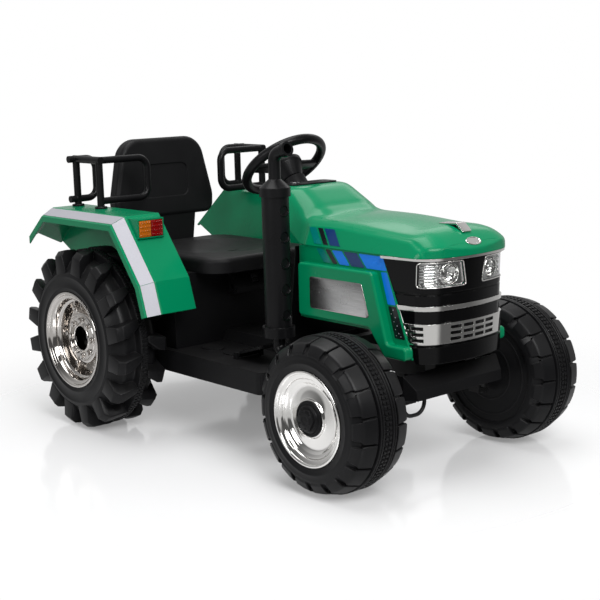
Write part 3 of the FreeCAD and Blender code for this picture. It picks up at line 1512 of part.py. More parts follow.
def hood_scoop():
    """Raised wedge on the bonnet with a blunt tip."""
    x0 = nose_x - scoop_rear_back
    x1 = x0 + scoop_length
    top = seam_z + hood_rise * hood_crown_shares[scoop_station]
    low = seam_z + hood_rise / 2
    outline = [(x0, low), (x0, top + scoop_rise / 2), (x1 - scoop_tip_length, top - scoop_rise / 2),
               (x1, top - scoop_rise), (x1, low)]
    wedge = side_prism(outline, -scoop_half_width, scoop_half_width)
    taper = plan_prism([(x0, -scoop_half_width / 2), (x1, -scoop_half_width), (x1, scoop_half_width),
                        (x0, scoop_half_width / 2)], low, top + hood_rise)
    above = wedge.common(taper).cut(hood_body(0))
    return max(above.Solids, key=lambda solid: solid.Volume)


# Sides of the bonnet
def side_wall():
    """Right wall under the bonnet, ending at the slanting nose edge."""
    top_x = nose_x - fascia_end_top_back
    low_x = nose_x - fascia_end_low_back
    lean = (low_x - top_x) / (seam_z - nose_low_z)

    def end_x(z):
        return top_x + lean * (seam_z - z)

    outline = [(side_wall_rear_x, side_wall_low_z), (side_wall_rear_x, seam_z), (top_x, seam_z),
               (end_x(panel_foot_low_z), panel_foot_low_z), (panel_foot_rear_x, panel_foot_low_z),
               (panel_front_x, side_wall_low_z)]
    return side_prism(outline, -body_half_width, wall - body_half_width)


def side_panel():
    """Raised right panel with rounded edges, hollow at the back, with a foot to the front."""
    outline = [(panel_rear_x, panel_low_z), (panel_rear_x, panel_high_z), (panel_front_x, panel_high_z),
               (panel_foot_rear_x, panel_foot_high_z), (panel_foot_front_x, panel_foot_high_z),
               (panel_foot_front_x, panel_foot_low_z), (panel_foot_rear_x - panel_corner, panel_foot_low_z),
               (panel_front_x - panel_corner, panel_low_z)]
    inner_y = -body_half_width
    face = Part.Face(rounded_wire(side_points(outline, inner_y), panel_corner))
    body = face.extrude(V(0, -panel_proud, 0))
    outer = min(body.Faces, key=lambda one: one.CenterOfMass.y)
    body = body.makeFillet(panel_edge, outer.Edges)
    hollow = face.makeOffset2D(-wall).extrude(V(0, wall - panel_proud, 0))
    return body.cut(hollow)


# Fenders and what they carry
def fender_path():
    """Side view of the fender from its rear tip over the top to its foot."""
    return [(-fender_rear_reach, fender_rear_z), (-fender_top_rear_x, fender_top_z),
            (fender_top_front_x, fender_top_z), (fender_crease_x, fender_crease_z),
            (fender_foot_x, fender_foot_z)]


def slope_z(x):
    """Height of the fender's front slope."""
    share = (x - fender_top_front_x) / (fender_crease_x - fender_top_front_x)
    return fender_top_z + share * (fender_crease_z - fender_top_z)


def slope_x(z):
    """Place of the fender's front slope at one height."""
    share = (fender_top_z - z) / (fender_top_z - fender_crease_z)
    return fender_top_front_x + share * (fender_crease_x - fender_top_front_x)


def rear_slope_z(x):
    """Height of the fender's rear slope."""
    share = (-fender_top_rear_x - x) / (fender_rear_reach - fender_top_rear_x)
    return fender_top_z + share * (fender_rear_z - fender_top_z)


def fender():
    """Right fender: folded top, bevelled outer edge with a lip, inner wall and lamp housing."""
    path = fender_path()
    low_path = offset_path(path, fender_bevel_drop)
    top = side_prism(strip(path, wall), -seat_box_half_width, -fender_bevel_y)
    bevel = Part.makeLoft([closed_wire(side_points(strip(path, wall), -fender_bevel_y)),
                           closed_wire(side_points(strip(low_path, wall), -fender_outer_y))], True, True)
    lip = side_prism(strip(low_path, fender_lip), -fender_outer_y, wall - fender_outer_y)
    rear_x = fender_wall_gap - fender_rear_reach
    inner = side_prism([(-seat_box_rear_x, fender_wall_low_z), (-seat_box_rear_x, fender_wall_rear_z),
                        (rear_x, rear_slope_z(rear_x)), (-fender_top_rear_x, fender_top_z),
                        (fender_top_front_x, fender_top_z),
                        (seat_box_front_x, slope_z(seat_box_front_x)), (seat_box_front_x, fender_wall_low_z)],
                       -seat_box_half_width - wall, -seat_box_half_width)
    grow = marker_rim
    high = marker_high_z + grow
    low = marker_low_z - grow
    housing = side_prism([(slope_x(high), high), (marker_face_x, high),
                          (marker_face_x, low), (slope_x(low), low)],
                         -marker_outer_y - grow, grow - marker_inner_y)
    pocket = block(marker_face_x - marker_pocket, marker_face_x + overrun, -marker_outer_y, -marker_inner_y,
                   marker_low_z, marker_high_z)
    end_x = -fender_rear_reach - overrun
    end_y = -fender_outer_y - overrun
    sweep = plan_prism([(-fender_rear_reach, -seat_box_half_width), (-fender_outer_reach, -fender_outer_y),
                        (-fender_outer_reach, end_y), (end_x, end_y), (end_x, -seat_box_half_width)],
                       fender_wall_low_z, fender_top_z)
    return joined([top, bevel, lip, inner, housing]).cut(pocket).cut(sweep)


def marker_lamp():
    """Marker lens seated in the lamp housing."""
    points = [V(marker_face_x - marker_pocket, y, z)
              for y, z in ((fit_gap - marker_outer_y, marker_low_z + fit_gap),
                           (-fit_gap - marker_inner_y, marker_low_z + fit_gap),
                           (-fit_gap - marker_inner_y, marker_high_z - fit_gap),
                           (fit_gap - marker_outer_y, marker_high_z - fit_gap))]
    return Part.Face(rounded_wire(points, marker_rim)).extrude(V(marker_pocket + marker_proud, 0, 0))


def handrail():
    """Right hand rail: a rounded top bar on two posts and two bent loops of tube."""
    front = -rail_front_post_x
    rear = -rail_rear_post_x
    bar = rod(V(rear - rail_tube_radius, -rail_post_y, rail_top_z),
              V(front + rail_tube_radius, -rail_post_y, rail_top_z), rail_tube_radius)
    ends = [edge for edge in bar.Edges if edge.isClosed()]
    pieces = [bar.makeFillet(rail_end_radius, ends)]
    for x in (front, rear):
        foot = V(x, -rail_post_y, fender_top_z)
        pieces.append(rod(foot, V(x, -rail_post_y, rail_top_z), rail_post_radius))
        pieces.append(Part.makeCylinder(rail_foot_radius, rail_foot_height, foot))
    low_z = rail_loop_low_z + rail_loop_radius
    for x, start_y, loop_y in ((front, rail_post_y, rail_front_loop_y), (rear, rail_end_y, rail_rear_loop_y)):
        pieces.append(tube([V(x, -start_y, rail_top_z), V(x, -loop_y, rail_top_z), V(x, -loop_y, low_z),
                            V(x, -start_y, low_z)], rail_bend, rail_loop_radius))
    return joined(pieces)


# Bumper, lead and exhaust
def front_bumper():
    """Wedge-shaped bumper with a tapered plan and a hollow back."""
    front = nose_x - bumper_front_back
    rear = nose_x - bumper_rear_back
    outline = [(front, bumper_low_z), (front - bumper_nose_step, bumper_nose_z),
               (front - bumper_slope_back, bumper_high_z), (rear, bumper_high_z), (rear, bumper_low_z)]
    body = side_prism(outline, -bumper_rear_half_width, bumper_rear_half_width)
    bend = front - bumper_slope_back
    plan = plan_prism([(rear, -bumper_rear_half_width), (bend, -bumper_rear_half_width),
                       (front, -bumper_front_half_width), (front, bumper_front_half_width),
                       (bend, bumper_rear_half_width), (rear, bumper_rear_half_width)],
                      bumper_low_z - overrun, bumper_high_z + overrun)
    body = body.common(plan)
    hollow = block(rear - overrun, bend - wall, wall - bumper_rear_half_width, bumper_rear_half_width - wall,
                   bumper_low_z + wall, bumper_high_z + overrun)
    keep = block(rear - overrun, bend, -rail_outer_y - fit_gap, rail_outer_y + fit_gap,
                 rail_low_z, bumper_high_z + overrun)
    return body.cut(hollow).cut(keep).removeSplitter()


def front_lead():
    """Short looped lead under the bumper, held at both ends."""
    x = nose_x - lead_x_back
    top = bumper_low_z
    return tube([V(x, -lead_y - lead_half_width, top), V(x, -lead_y - lead_half_width, lead_low_z),
                 V(x, lead_half_width - lead_y, lead_low_z), V(x, lead_half_width - lead_y, top)],
                lead_bend, lead_radius)


def exhaust_stack():
    """Dimpled stack with a base collar and a top collar."""
    profile = [(0, stack_base_z), (stack_collar_radius, stack_base_z), (stack_collar_radius, stack_low_z),
               (stack_radius, stack_low_z), (stack_radius, stack_high_z), (stack_top_radius, stack_high_z),
               (stack_top_radius, stack_top_z), (0, stack_top_z)]
    points = [V(radius, 0, z) for radius, z in profile]
    stack = Part.Face(closed_wire(points)).revolve(V(0, 0, 0), V(0, 0, 1), 360)
    span = stack_dimple_share * (stack_high_z - stack_low_z)
    first = (stack_high_z + stack_low_z - span) / 2
    dimples = []
    for place in range(stack_dimple_count):
        z = first + span * place / (stack_dimple_count - 1)
        dimples.append(rod(V(stack_radius - stack_dimple_depth, 0, z), V(stack_radius + overrun, 0, z),
                           stack_dimple_radius))
    stack = stack.cut(Part.makeCompound(dimples))
    stack.translate(V(exhaust_x, -exhaust_y, 0))
    return stack


def exhaust_outlet():
    """Conical cap and a bent, bored outlet pipe with a beaded tip."""
    foot = V(exhaust_x, -exhaust_y, stack_top_z)
    cone = Part.makeCone(stack_top_radius, outlet_radius, outlet_cone_height, foot)
    bend = V(exhaust_x, -exhaust_y, outlet_bend_z)
    tip = V(outlet_tip_x, -exhaust_y, outlet_tip_z)
    way = (tip - bend).normalize()
    pipe = tube([foot, bend, tip], outlet_bend, outlet_radius)
    bead = rod(tip - way * outlet_bead_length, tip, outlet_bead_radius)
    bore = tube([foot + V(0, 0, outlet_cone_height), bend, tip + way * overrun],
                outlet_bend, outlet_bore_radius)
    return joined([cone, pipe, bead]).cut(bore)


def exhaust_elbow():
    """Bent pipe from the stack to the subframe rail."""
    top = V(exhaust_x, -exhaust_y, stack_base_z)
    corner = V(exhaust_x, -exhaust_y, elbow_z)
    side = V(elbow_end_x, -exhaust_y, elbow_z)
    return tube([top, corner, side, V(elbow_end_x, -rail_outer_y, elbow_z)], elbow_bend, elbow_radius)


def save(name, shape):
    """Write one piece with the origin under the middle of the tractor."""
    moved = shape.copy()
    moved.translate(V(-centre_x, 0, 0))
    moved.exportStep("parts/" + name + ".step")


def save_pair(name, shape):
    """Write a right-hand piece and its mirror image."""
    save(name + "_right", shape)
    save(name + "_left", mirrored(shape))


def main():
    """Build and write every piece."""
    os.makedirs("parts", exist_ok=True)
    rear = (0, rear_tyre_inner_y, rear_tyre_width, rear_tyre_radius)
    front = (wheelbase, front_tyre_inner_y, front_tyre_width, front_tyre_radius)
    save_pair("rear_tyre", wheel_at(rear_tyre(), *rear))
    save_pair("rear_rim", wheel_at(rear_rim(), *rear))
    save_pair("front_tyre", wheel_at(front_tyre(), *front))
    save_pair("front_rim", wheel_at(front_rim(), *front))
    save_pair("front_hub_cap", wheel_at(front_hub_cap(), *front))
    for maker in (knuckle, gear_motor, side_wall, side_panel, fender, marker_lamp, handrail,
                  headlamp_lens, headlamp_bowl):
        save_pair(maker.__name__, maker())
    for maker in (steering_wheel, horn_button, steering_shaft, tie_rod, front_axle_beam, kingpins,
                  front_subframe, chassis_tub, seat_box, switch_console, direction_rocker, rear_axle,
                  axle_nuts, battery, accelerator_pedal, seat_pan, seat_back, hood, dash_panel,
                  power_button, toe_board, front_fascia, hood_edge_trim, fascia_strip, lower_grille,
                  hood_scoop, front_bumper, front_lead, exhaust_stack, exhaust_outlet, exhaust_elbow):
        save(maker.__name__, maker())


main()
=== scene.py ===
"""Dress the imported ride-on tractor toy: finishes, tyres, rims, trims, lamps, studio and camera."""

from __future__ import annotations

import logging
import math
from dataclasses import dataclass, field
from enum import Enum
from typing import Iterable, Sequence

import bmesh
import bpy
from mathutils import Matrix, Vector
from mathutils.bvhtree import BVHTree

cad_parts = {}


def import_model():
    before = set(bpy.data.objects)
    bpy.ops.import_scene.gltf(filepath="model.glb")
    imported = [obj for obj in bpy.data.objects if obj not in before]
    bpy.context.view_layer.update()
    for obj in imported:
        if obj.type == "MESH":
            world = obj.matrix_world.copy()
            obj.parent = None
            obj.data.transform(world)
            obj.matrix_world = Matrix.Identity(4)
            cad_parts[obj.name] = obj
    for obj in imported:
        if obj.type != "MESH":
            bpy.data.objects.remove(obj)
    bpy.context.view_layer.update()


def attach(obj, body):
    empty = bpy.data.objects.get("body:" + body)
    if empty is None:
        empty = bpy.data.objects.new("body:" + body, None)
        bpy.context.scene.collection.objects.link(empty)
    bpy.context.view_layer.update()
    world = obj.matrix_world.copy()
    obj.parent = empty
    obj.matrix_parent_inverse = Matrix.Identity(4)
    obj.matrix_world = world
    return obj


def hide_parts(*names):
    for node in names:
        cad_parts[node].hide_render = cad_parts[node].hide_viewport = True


LOG = logging.getLogger("tractor")
MM = 0.001
REAR_AXLE_X = -315.0
Colour = tuple[float, float, float]
Pair = tuple[float, float]
Triple = tuple[float, float, float]
Net = Sequence[Sequence[Sequence[float]]]
Sockets = bpy.types.bpy_prop_collection
Source = bpy.types.NodeSocket | float | Colour
Results = dict[str, bpy.types.NodeSocket]
WHITE: Colour = (1.0, 1.0, 1.0)
NOISE_DETAIL = 4.0
NOISE_MIDDLE = 0.5
BEVEL_SAMPLES = 4
GRAIN_HEIGHT = 0.0006
BRUSH_HEIGHT = 0.0004
BRUSH_STRETCH: Triple = (0.04, 1.0, 1.0)
DUST_SLOPE = {"From Min": 0.2}
EDGE_TURN = {"From Min": 0.99, "From Max": 0.8}
SQUARE: tuple[Pair, ...] = ((-1, -1), (1, -1), (1, 1), (-1, 1))
WELD = 0.002
SLIVER = 0.001
SHARP = math.radians(28.0)
SMOOTH = math.radians(38.0)
BEVEL_PROFILE = 0.5
BEVEL_STEPS = 2
FINE_BEVEL_STEPS = 3
SHORTEST = 0.01
ARC_STEPS = 8
CORNER_STEPS = 5
CORNER_REACH = 0.45
FRONT_X = 1000.0
BACKWARD: Triple = (-1, 0, 0)
TUBE_START: Triple = (0.3, 0.7, 0.6)
SCREW_DOME: tuple[Pair, ...] = ((0.0, 0.0), (1.0, 0.0), (1.0, -0.4), (0.8, -0.8), (0.42, -1.0), (0.34, -0.6),
                                (0.0, -0.55))
SCREW_SLOT: Triple = (0.34, 0.06, 0.8)
SCREW_STEPS = 20


def turns(count: int) -> list[float]:
    """Even angles of one full turn."""
    return [2 * math.pi * number / count for number in range(count)]


def spun(degrees: float, axis: str = "Y") -> Matrix:
    """Turn about one axis."""
    return Matrix.Rotation(math.radians(degrees), 4, axis)


def band(count: int) -> list[tuple[int, ...]]:
    """Side faces between two rings of one size."""
    return [(n, (n + 1) % count, (n + 1) % count + count, n + count) for n in range(count)]


def ends(low: float, high: float, first: float, last: float) -> dict[str, float]:
    """Ends of a range, and what they become."""
    return {"From Min": low, "From Max": high, "To Min": first, "To Max": last}


class Side(Enum):
    """The two sides of the tractor, as the sign of y."""

    RIGHT = -1
    LEFT = 1

    @property
    def word(self) -> str:
        """Name that the CAD nodes of this side end in."""
        return self.name.lower()

    @property
    def flip(self) -> Matrix:
        """Matrix that brings a right-hand piece to this side."""
        return Matrix.Scale(-1 if self is Side.LEFT else 1, 4, (0, 1, 0))


@dataclass
class Graph:
    """Adds nodes to a node tree, each with its sockets set or linked."""

    tree: bpy.types.NodeTree

    def fill(self, node: bpy.types.Node, inputs: dict[str | int, object]) -> None:
        """Give the inputs of a node their sources.

        Args:
            node: node to fill.
            inputs: socket, colour or number for each input that is set.
        """
        for title, value in inputs.items():
            socket = node.inputs[title]
            if isinstance(value, bpy.types.NodeSocket):
                self.tree.links.new(value, socket)
            else:
                socket.default_value = (*value, 1.0) if socket.type == "RGBA" else value

    def add(self, kind: str, inputs: dict[str | int, object] | None = None,
            **traits: object) -> bpy.types.Node:
        """Add one node.

        Args:
            kind: type of the node, without the part that all shader nodes share.
            inputs: what its inputs take.
            traits: settings of the node itself.

        Returns:
            The node.
        """
        made = self.tree.nodes.new("ShaderNode" + kind)
        for name, value in traits.items():
            setattr(made, name, value)
        self.fill(made, inputs or {})
        return made

    def math(self, operation: str, one: Source, two: Source) -> bpy.types.NodeSocket:
        """Give the result of one arithmetic step."""
        return self.add("Math", {0: one, 1: two}, operation=operation).outputs[0]

    def blend(self, share: Source, one: Source, two: Source) -> bpy.types.NodeSocket:
        """Give the colour that lies between two others."""
        return self.add("Mix", {0: share, 6: one, 7: two}, data_type="RGBA").outputs[2]

    def span(self, value: Source, ends: dict[str, float], kind: str = "LINEAR") -> bpy.types.NodeSocket:
        """Give a value moved from one range to another."""
        return self.add("MapRange", {"Value": value, **ends}, interpolation_type=kind).outputs["Result"]

    def noise(self, scale: Source, stretch: Triple = (1, 1, 1)) -> bpy.types.NodeSocket:
        """Give noise in the piece's own coordinates.

        Args:
            scale: scale of the noise.
            stretch: scale of the three axes.

        Returns:
            The socket of the noise.
        """
        place = self.add("TexCoord").outputs["Object"]
        mapped = self.add("Mapping", {"Vector": place, "Scale": stretch}).outputs["Vector"]
        return self.add("TexNoise", {"Vector": mapped, "Scale": scale, "Detail": NOISE_DETAIL}).outputs["Fac"]

    def rounding(self, radius: Source) -> bpy.types.NodeSocket:
        """Give the normal of softened edges."""
        return self.add("Bevel", {"Radius": radius}, samples=BEVEL_SAMPLES).outputs["Normal"]


class Effect(Enum):
    """Node groups that several finishes share: name, inputs and outputs."""

    MOTTLE = ("surface_mottle", {"Colour": "Color", "Second": "Color", "Shift": "Float", "Scale": "Float",
                                 "Roughness": "Float"}, {"Colour": "Color", "Roughness": "Float"})
    GRAIN = ("moulded_grain", {"Scale": "Float", "Depth": "Float", "Rounding": "Float"}, {"Normal": "Vector"})
    DUST = ("settled_dust", {"Colour": "Color", "Dust": "Color", "Amount": "Float", "Scale": "Float"},
            {"Colour": "Color"})
    EDGE = ("edge_wear", {"Colour": "Color", "Rubbed": "Color", "Amount": "Float", "Width": "Float"},
            {"Colour": "Color"})
    BRUSH = ("brushed_lines", {"Colour": "Color", "Second": "Color", "Scale": "Float", "Depth": "Float"},
             {"Colour": "Color", "Normal": "Vector"})


class GroupBook:
    """Builds each shared node group once and hands it out again."""

    def __init__(self) -> None:
        """Start with no groups made."""
        self._made: dict[Effect, bpy.types.NodeTree] = {}

    def get(self, effect: Effect) -> bpy.types.NodeTree:
        """Give the node group of one effect.

        Args:
            effect: which effect is wanted.

        Returns:
            The node tree, made on first use.
        """
        if effect not in self._made:
            name, inputs, outputs = effect.value
            tree = bpy.data.node_groups.new(name, "ShaderNodeTree")
            for way, sockets in (("INPUT", inputs), ("OUTPUT", outputs)):
                for title, kind in sockets.items():
                    tree.interface.new_socket(title, in_out=way, socket_type="NodeSocket" + kind)
            given, out = tree.nodes.new("NodeGroupInput"), tree.nodes.new("NodeGroupOutput")
            graph = Graph(tree)
            graph.fill(out, getattr(self, "_" + effect.name.lower())(graph, given.outputs))
            self._made[effect] = tree
        return self._made[effect]

    @staticmethod
    def _mottle(graph: Graph, given: Sockets) -> Results:
        """Make the soft unevenness of colour and gloss.

        Args:
            graph: nodes of the group.
            given: what the group is given.

        Returns:
            Its results by name.
        """
        noise = graph.noise(given["Scale"])
        share = graph.math("MULTIPLY", noise, given["Shift"])
        lift = graph.math("MULTIPLY", graph.math("SUBTRACT", noise, NOISE_MIDDLE), given["Shift"])
        return {"Colour": graph.blend(share, given["Colour"], given["Second"]),
                "Roughness": graph.math("ADD", given["Roughness"], lift)}

    @staticmethod
    def _grain(graph: Graph, given: Sockets) -> Results:
        """Make the fine moulded grain with softened edges.

        Args:
            graph: nodes of the group.
            given: what the group is given.

        Returns:
            Its results by name.
        """
        bump = graph.add("Bump", {"Strength": given["Depth"], "Height": graph.noise(given["Scale"]),
                                  "Normal": graph.rounding(given["Rounding"]), "Distance": GRAIN_HEIGHT})
        return {"Normal": bump.outputs["Normal"]}

    @staticmethod
    def _dust(graph: Graph, given: Sockets) -> Results:
        """Make the thin dust that lies on upward faces.

        Args:
            graph: nodes of the group.
            given: what the group is given.

        Returns:
            Its results by name.
        """
        axes = graph.add("SeparateXYZ", {0: graph.add("NewGeometry").outputs["Normal"]})
        share = graph.math("MULTIPLY", graph.span(axes.outputs["Z"], DUST_SLOPE), graph.noise(given["Scale"]))
        share = graph.math("MULTIPLY", share, given["Amount"])
        return {"Colour": graph.blend(share, given["Colour"], given["Dust"])}

    @staticmethod
    def _edge(graph: Graph, given: Sockets) -> Results:
        """Make the rubbed light line on outer edges.

        Args:
            graph: nodes of the group.
            given: what the group is given.

        Returns:
            Its results by name.
        """
        flat = graph.add("NewGeometry").outputs["Normal"]
        turn = graph.add("VectorMath", {0: graph.rounding(given["Width"]), 1: flat}, operation="DOT_PRODUCT")
        share = graph.math("MULTIPLY", graph.span(turn.outputs["Value"], EDGE_TURN), given["Amount"])
        return {"Colour": graph.blend(share, given["Colour"], given["Rubbed"])}

    @staticmethod
    def _brush(graph: Graph, given: Sockets) -> Results:
        """Make the drawn lines of brushed sheet and woven film.

        Args:
            graph: nodes of the group.
            given: what the group is given.

        Returns:
            Its results by name.
        """
        noise = graph.noise(given["Scale"], BRUSH_STRETCH)
        bump = graph.add("Bump", {"Strength": given["Depth"], "Height": noise, "Distance": BRUSH_HEIGHT})
        return {"Colour": graph.blend(noise, given["Colour"], given["Second"]),
                "Normal": bump.outputs["Normal"]}


GROUPS = GroupBook()


@dataclass(frozen=True)
class Finish:
    """Moulded, painted or plated surface made of shared effects."""

    name: str
    colour: Colour
    second: Colour
    roughness: float
    metallic: float = 0.0
    coat: float = 0.0
    specular: float = 0.5
    shift: float = 0.12
    mottle_scale: float = 14.0
    grain_scale: float = 900.0
    grain_depth: float = 0.1
    rounding: float = 0.0012
    dust: float = 0.0
    dust_colour: Colour = (0.42, 0.4, 0.37)
    rubbed: float = 0.0
    rubbed_colour: Colour = (0.3, 0.3, 0.3)
    rubbed_width: float = 0.0015
    dust_scale: float = 22.0
    coat_roughness: float = 0.06

    def material(self) -> bpy.types.Material:
        """Give the material of this finish.

        Returns:
            The material, made on first use.
        """
        known = bpy.data.materials.get(self.name)
        if known:
            return known
        made = bpy.data.materials.new(self.name)
        made.use_nodes = True
        self.wire(Graph(made.node_tree), made.node_tree.nodes["Principled BSDF"])
        return made

    @staticmethod
    def use(graph: Graph, effect: Effect, **values: Source) -> Sockets:
        """Put a shared effect into a material and give its outputs."""
        return graph.add("Group", values, node_tree=GROUPS.get(effect)).outputs

    def surface(self, graph: Graph) -> tuple[bpy.types.NodeSocket, ...]:
        """Join the effects.

        Args:
            graph: nodes of the material.

        Returns:
            The sockets of colour, roughness and normal.
        """
        base = self.use(graph, Effect.MOTTLE, Colour=self.colour, Second=self.second, Shift=self.shift,
                        Scale=self.mottle_scale, Roughness=self.roughness)
        colour = base["Colour"]
        if self.rubbed:
            colour = self.use(graph, Effect.EDGE, Colour=colour, Rubbed=self.rubbed_colour,
                              Amount=self.rubbed, Width=self.rubbed_width)["Colour"]
        if self.dust:
            colour = self.use(graph, Effect.DUST, Colour=colour, Dust=self.dust_colour, Amount=self.dust,
                              Scale=self.dust_scale)["Colour"]
        grain = self.use(graph, Effect.GRAIN, Scale=self.grain_scale, Depth=self.grain_depth,
                         Rounding=self.rounding)
        return colour, base["Roughness"], grain["Normal"]

    def wire(self, graph: Graph, shader: bpy.types.Node) -> None:
        """Fill the shader.

        Args:
            graph: nodes of the material.
            shader: its Principled node.
        """
        colour, roughness, normal = self.surface(graph)
        graph.fill(shader, {"Base Color": colour, "Roughness": roughness, "Normal": normal,
                            "Metallic": self.metallic, "Specular IOR Level": self.specular,
                            "Coat Weight": self.coat, "Coat Roughness": self.coat_roughness})


@dataclass(frozen=True)
class BrushedFinish(Finish):
    """Drawn sheet metal or woven reflective film."""

    brush_scale: float = 700.0
    brush_depth: float = 0.25

    def surface(self, graph: Graph) -> tuple[bpy.types.NodeSocket, ...]:
        """Join the drawn lines.

        Args:
            graph: nodes of the material.

        Returns:
            The sockets of colour, roughness and normal.
        """
        lines = self.use(graph, Effect.BRUSH, Colour=self.colour, Second=self.second, Scale=self.brush_scale,
                         Depth=self.brush_depth)
        base = self.use(graph, Effect.MOTTLE, Colour=lines["Colour"], Second=self.second, Shift=self.shift,
                        Scale=self.mottle_scale, Roughness=self.roughness)
        return base["Colour"], base["Roughness"], lines["Normal"]


@dataclass(frozen=True)
class FilmFinish(Finish):
    """Printed film on a moulding."""

    roughness: float = 0.22
    coat: float = 0.25
    specular: float = 0.3
    shift: float = 0.6
    mottle_scale: float = 26.0
    grain_depth: float = 0.02
    rounding: float = 0.0003


@dataclass(frozen=True)
class LensFinish(Finish):
    """Clear or tinted moulded lens that lets light through."""

    clearness: float = 0.9
    index: float = 1.15

    def wire(self, graph: Graph, shader: bpy.types.Node) -> None:
        """Fill the shader and set how much light passes."""
        Finish.wire(self, graph, shader)
        graph.fill(shader, {"Transmission Weight": self.clearness, "IOR": self.index})


GREEN = Finish("green_plastic", (0.0, 0.178, 0.074), (0.0, 0.206, 0.088), 0.24, coat=0.1, specular=0.15,
               shift=0.2, grain_depth=0.02, rounding=0.0025)
BLACK = Finish("black_plastic", (0.0045, 0.0045, 0.005), (0.009, 0.009, 0.0095), 0.42, specular=0.12,
               shift=0.3, grain_depth=0.14, dust=0.012, rubbed=0.1, rubbed_colour=(0.04, 0.04, 0.04))
SEAT_BLACK = Finish("seat_plastic", (0.006, 0.006, 0.0065), (0.011, 0.011, 0.012), 0.46, specular=0.15,
                    shift=0.3, grain_scale=600.0, grain_depth=0.24, rounding=0.003, dust=0.012)
TUBE_BLACK = Finish("tube_black", (0.004, 0.004, 0.0045), (0.009, 0.009, 0.0095), 0.32, specular=0.15,
                    shift=0.25, grain_depth=0.1)
GLOSS_BLACK = Finish("piano_black", (0.0014, 0.0014, 0.0016), (0.003, 0.003, 0.0033), 0.1, coat=0.08,
                     specular=0.16, shift=0.06, grain_depth=0.01, rounding=0.002)
TREAD = Finish("tread_black", (0.0045, 0.0045, 0.005), (0.009, 0.009, 0.01), 0.38, specular=0.16, shift=0.3,
               grain_scale=500.0, grain_depth=0.12, dust=0.015, rubbed=0.12,
               rubbed_colour=(0.04, 0.04, 0.042))
CHROME = Finish("chrome_plate", (0.8, 0.79, 0.77), (0.7, 0.69, 0.67), 0.07, metallic=1.0, shift=0.05,
                grain_scale=60.0, grain_depth=0.003, rounding=0.0008)
RIM_CHROME = Finish("rim_chrome", (0.6, 0.575, 0.55), (0.5, 0.475, 0.45), 0.08, metallic=1.0, shift=0.06,
                    grain_scale=60.0, grain_depth=0.003, rounding=0.0008)
REFLECTOR = Finish("reflector_plate", (0.52, 0.52, 0.51), (0.42, 0.42, 0.42), 0.14, metallic=1.0,
                   shift=0.08, grain_scale=240.0, grain_depth=0.03)
STEEL = Finish("zinc_steel", (0.45, 0.45, 0.46), (0.32, 0.32, 0.33), 0.35, metallic=1.0, shift=0.4,
               grain_depth=0.12, rubbed=0.3, rubbed_colour=(0.6, 0.6, 0.6))
FRAME_PAINT = Finish("frame_paint", (0.006, 0.006, 0.006), (0.012, 0.012, 0.012), 0.4, specular=0.3,
                     shift=0.3, grain_scale=700.0, grain_depth=0.18, rubbed=0.1,
                     rubbed_colour=(0.05, 0.05, 0.05))
DRIVE = Finish("drive_plastic", (0.03, 0.03, 0.034), (0.05, 0.05, 0.055), 0.45, shift=0.3, grain_depth=0.15)
RUBBER = Finish("lead_rubber", (0.006, 0.006, 0.006), (0.012, 0.012, 0.012), 0.5, specular=0.3, shift=0.3,
                grain_depth=0.12)
SWITCH = Finish("switch_gloss", (0.02, 0.02, 0.022), (0.035, 0.035, 0.038), 0.22, coat=0.3, grain_depth=0.05)
BLUE_FILM = FilmFinish("blue_film", (0.003, 0.13, 0.58), (0.006, 0.22, 0.8), coat=0.12, specular=0.2)
DEEP_FILM = FilmFinish("deep_blue_film", (0.003, 0.02, 0.09), (0.005, 0.045, 0.18))
BLACK_FILM = FilmFinish("black_film", (0.004, 0.006, 0.007), (0.008, 0.014, 0.016), shift=0.5,
                        mottle_scale=40.0)
TEAL_FILM = FilmFinish("teal_film", (0.0, 0.12, 0.11), (0.0, 0.2, 0.17), mottle_scale=34.0)
PLATE = BrushedFinish("silver_plate", (0.62, 0.62, 0.62), (0.36, 0.36, 0.36), 0.24, metallic=1.0,
                      shift=0.35, mottle_scale=9.0)
STRIPE = BrushedFinish("stripe_film", (0.4, 0.395, 0.43), (0.32, 0.32, 0.355), 0.45, metallic=0.2,
                       shift=0.2, brush_scale=520.0, brush_depth=0.35)
CLEAR = LensFinish("clear_lens", (0.98, 0.985, 0.985), (0.94, 0.95, 0.95), 0.03, shift=0.02,
                   grain_depth=0.01, clearness=1.0)
AMBER = LensFinish("amber_lens", (0.5, 0.13, 0.008), (0.6, 0.19, 0.016), 0.18, coat=0.4, grain_depth=0.05,
                   clearness=0.3)
RED_LENS = LensFinish("red_lens", (0.24, 0.004, 0.004), (0.32, 0.008, 0.007), 0.18, coat=0.4,
                      grain_depth=0.05, clearness=0.3)


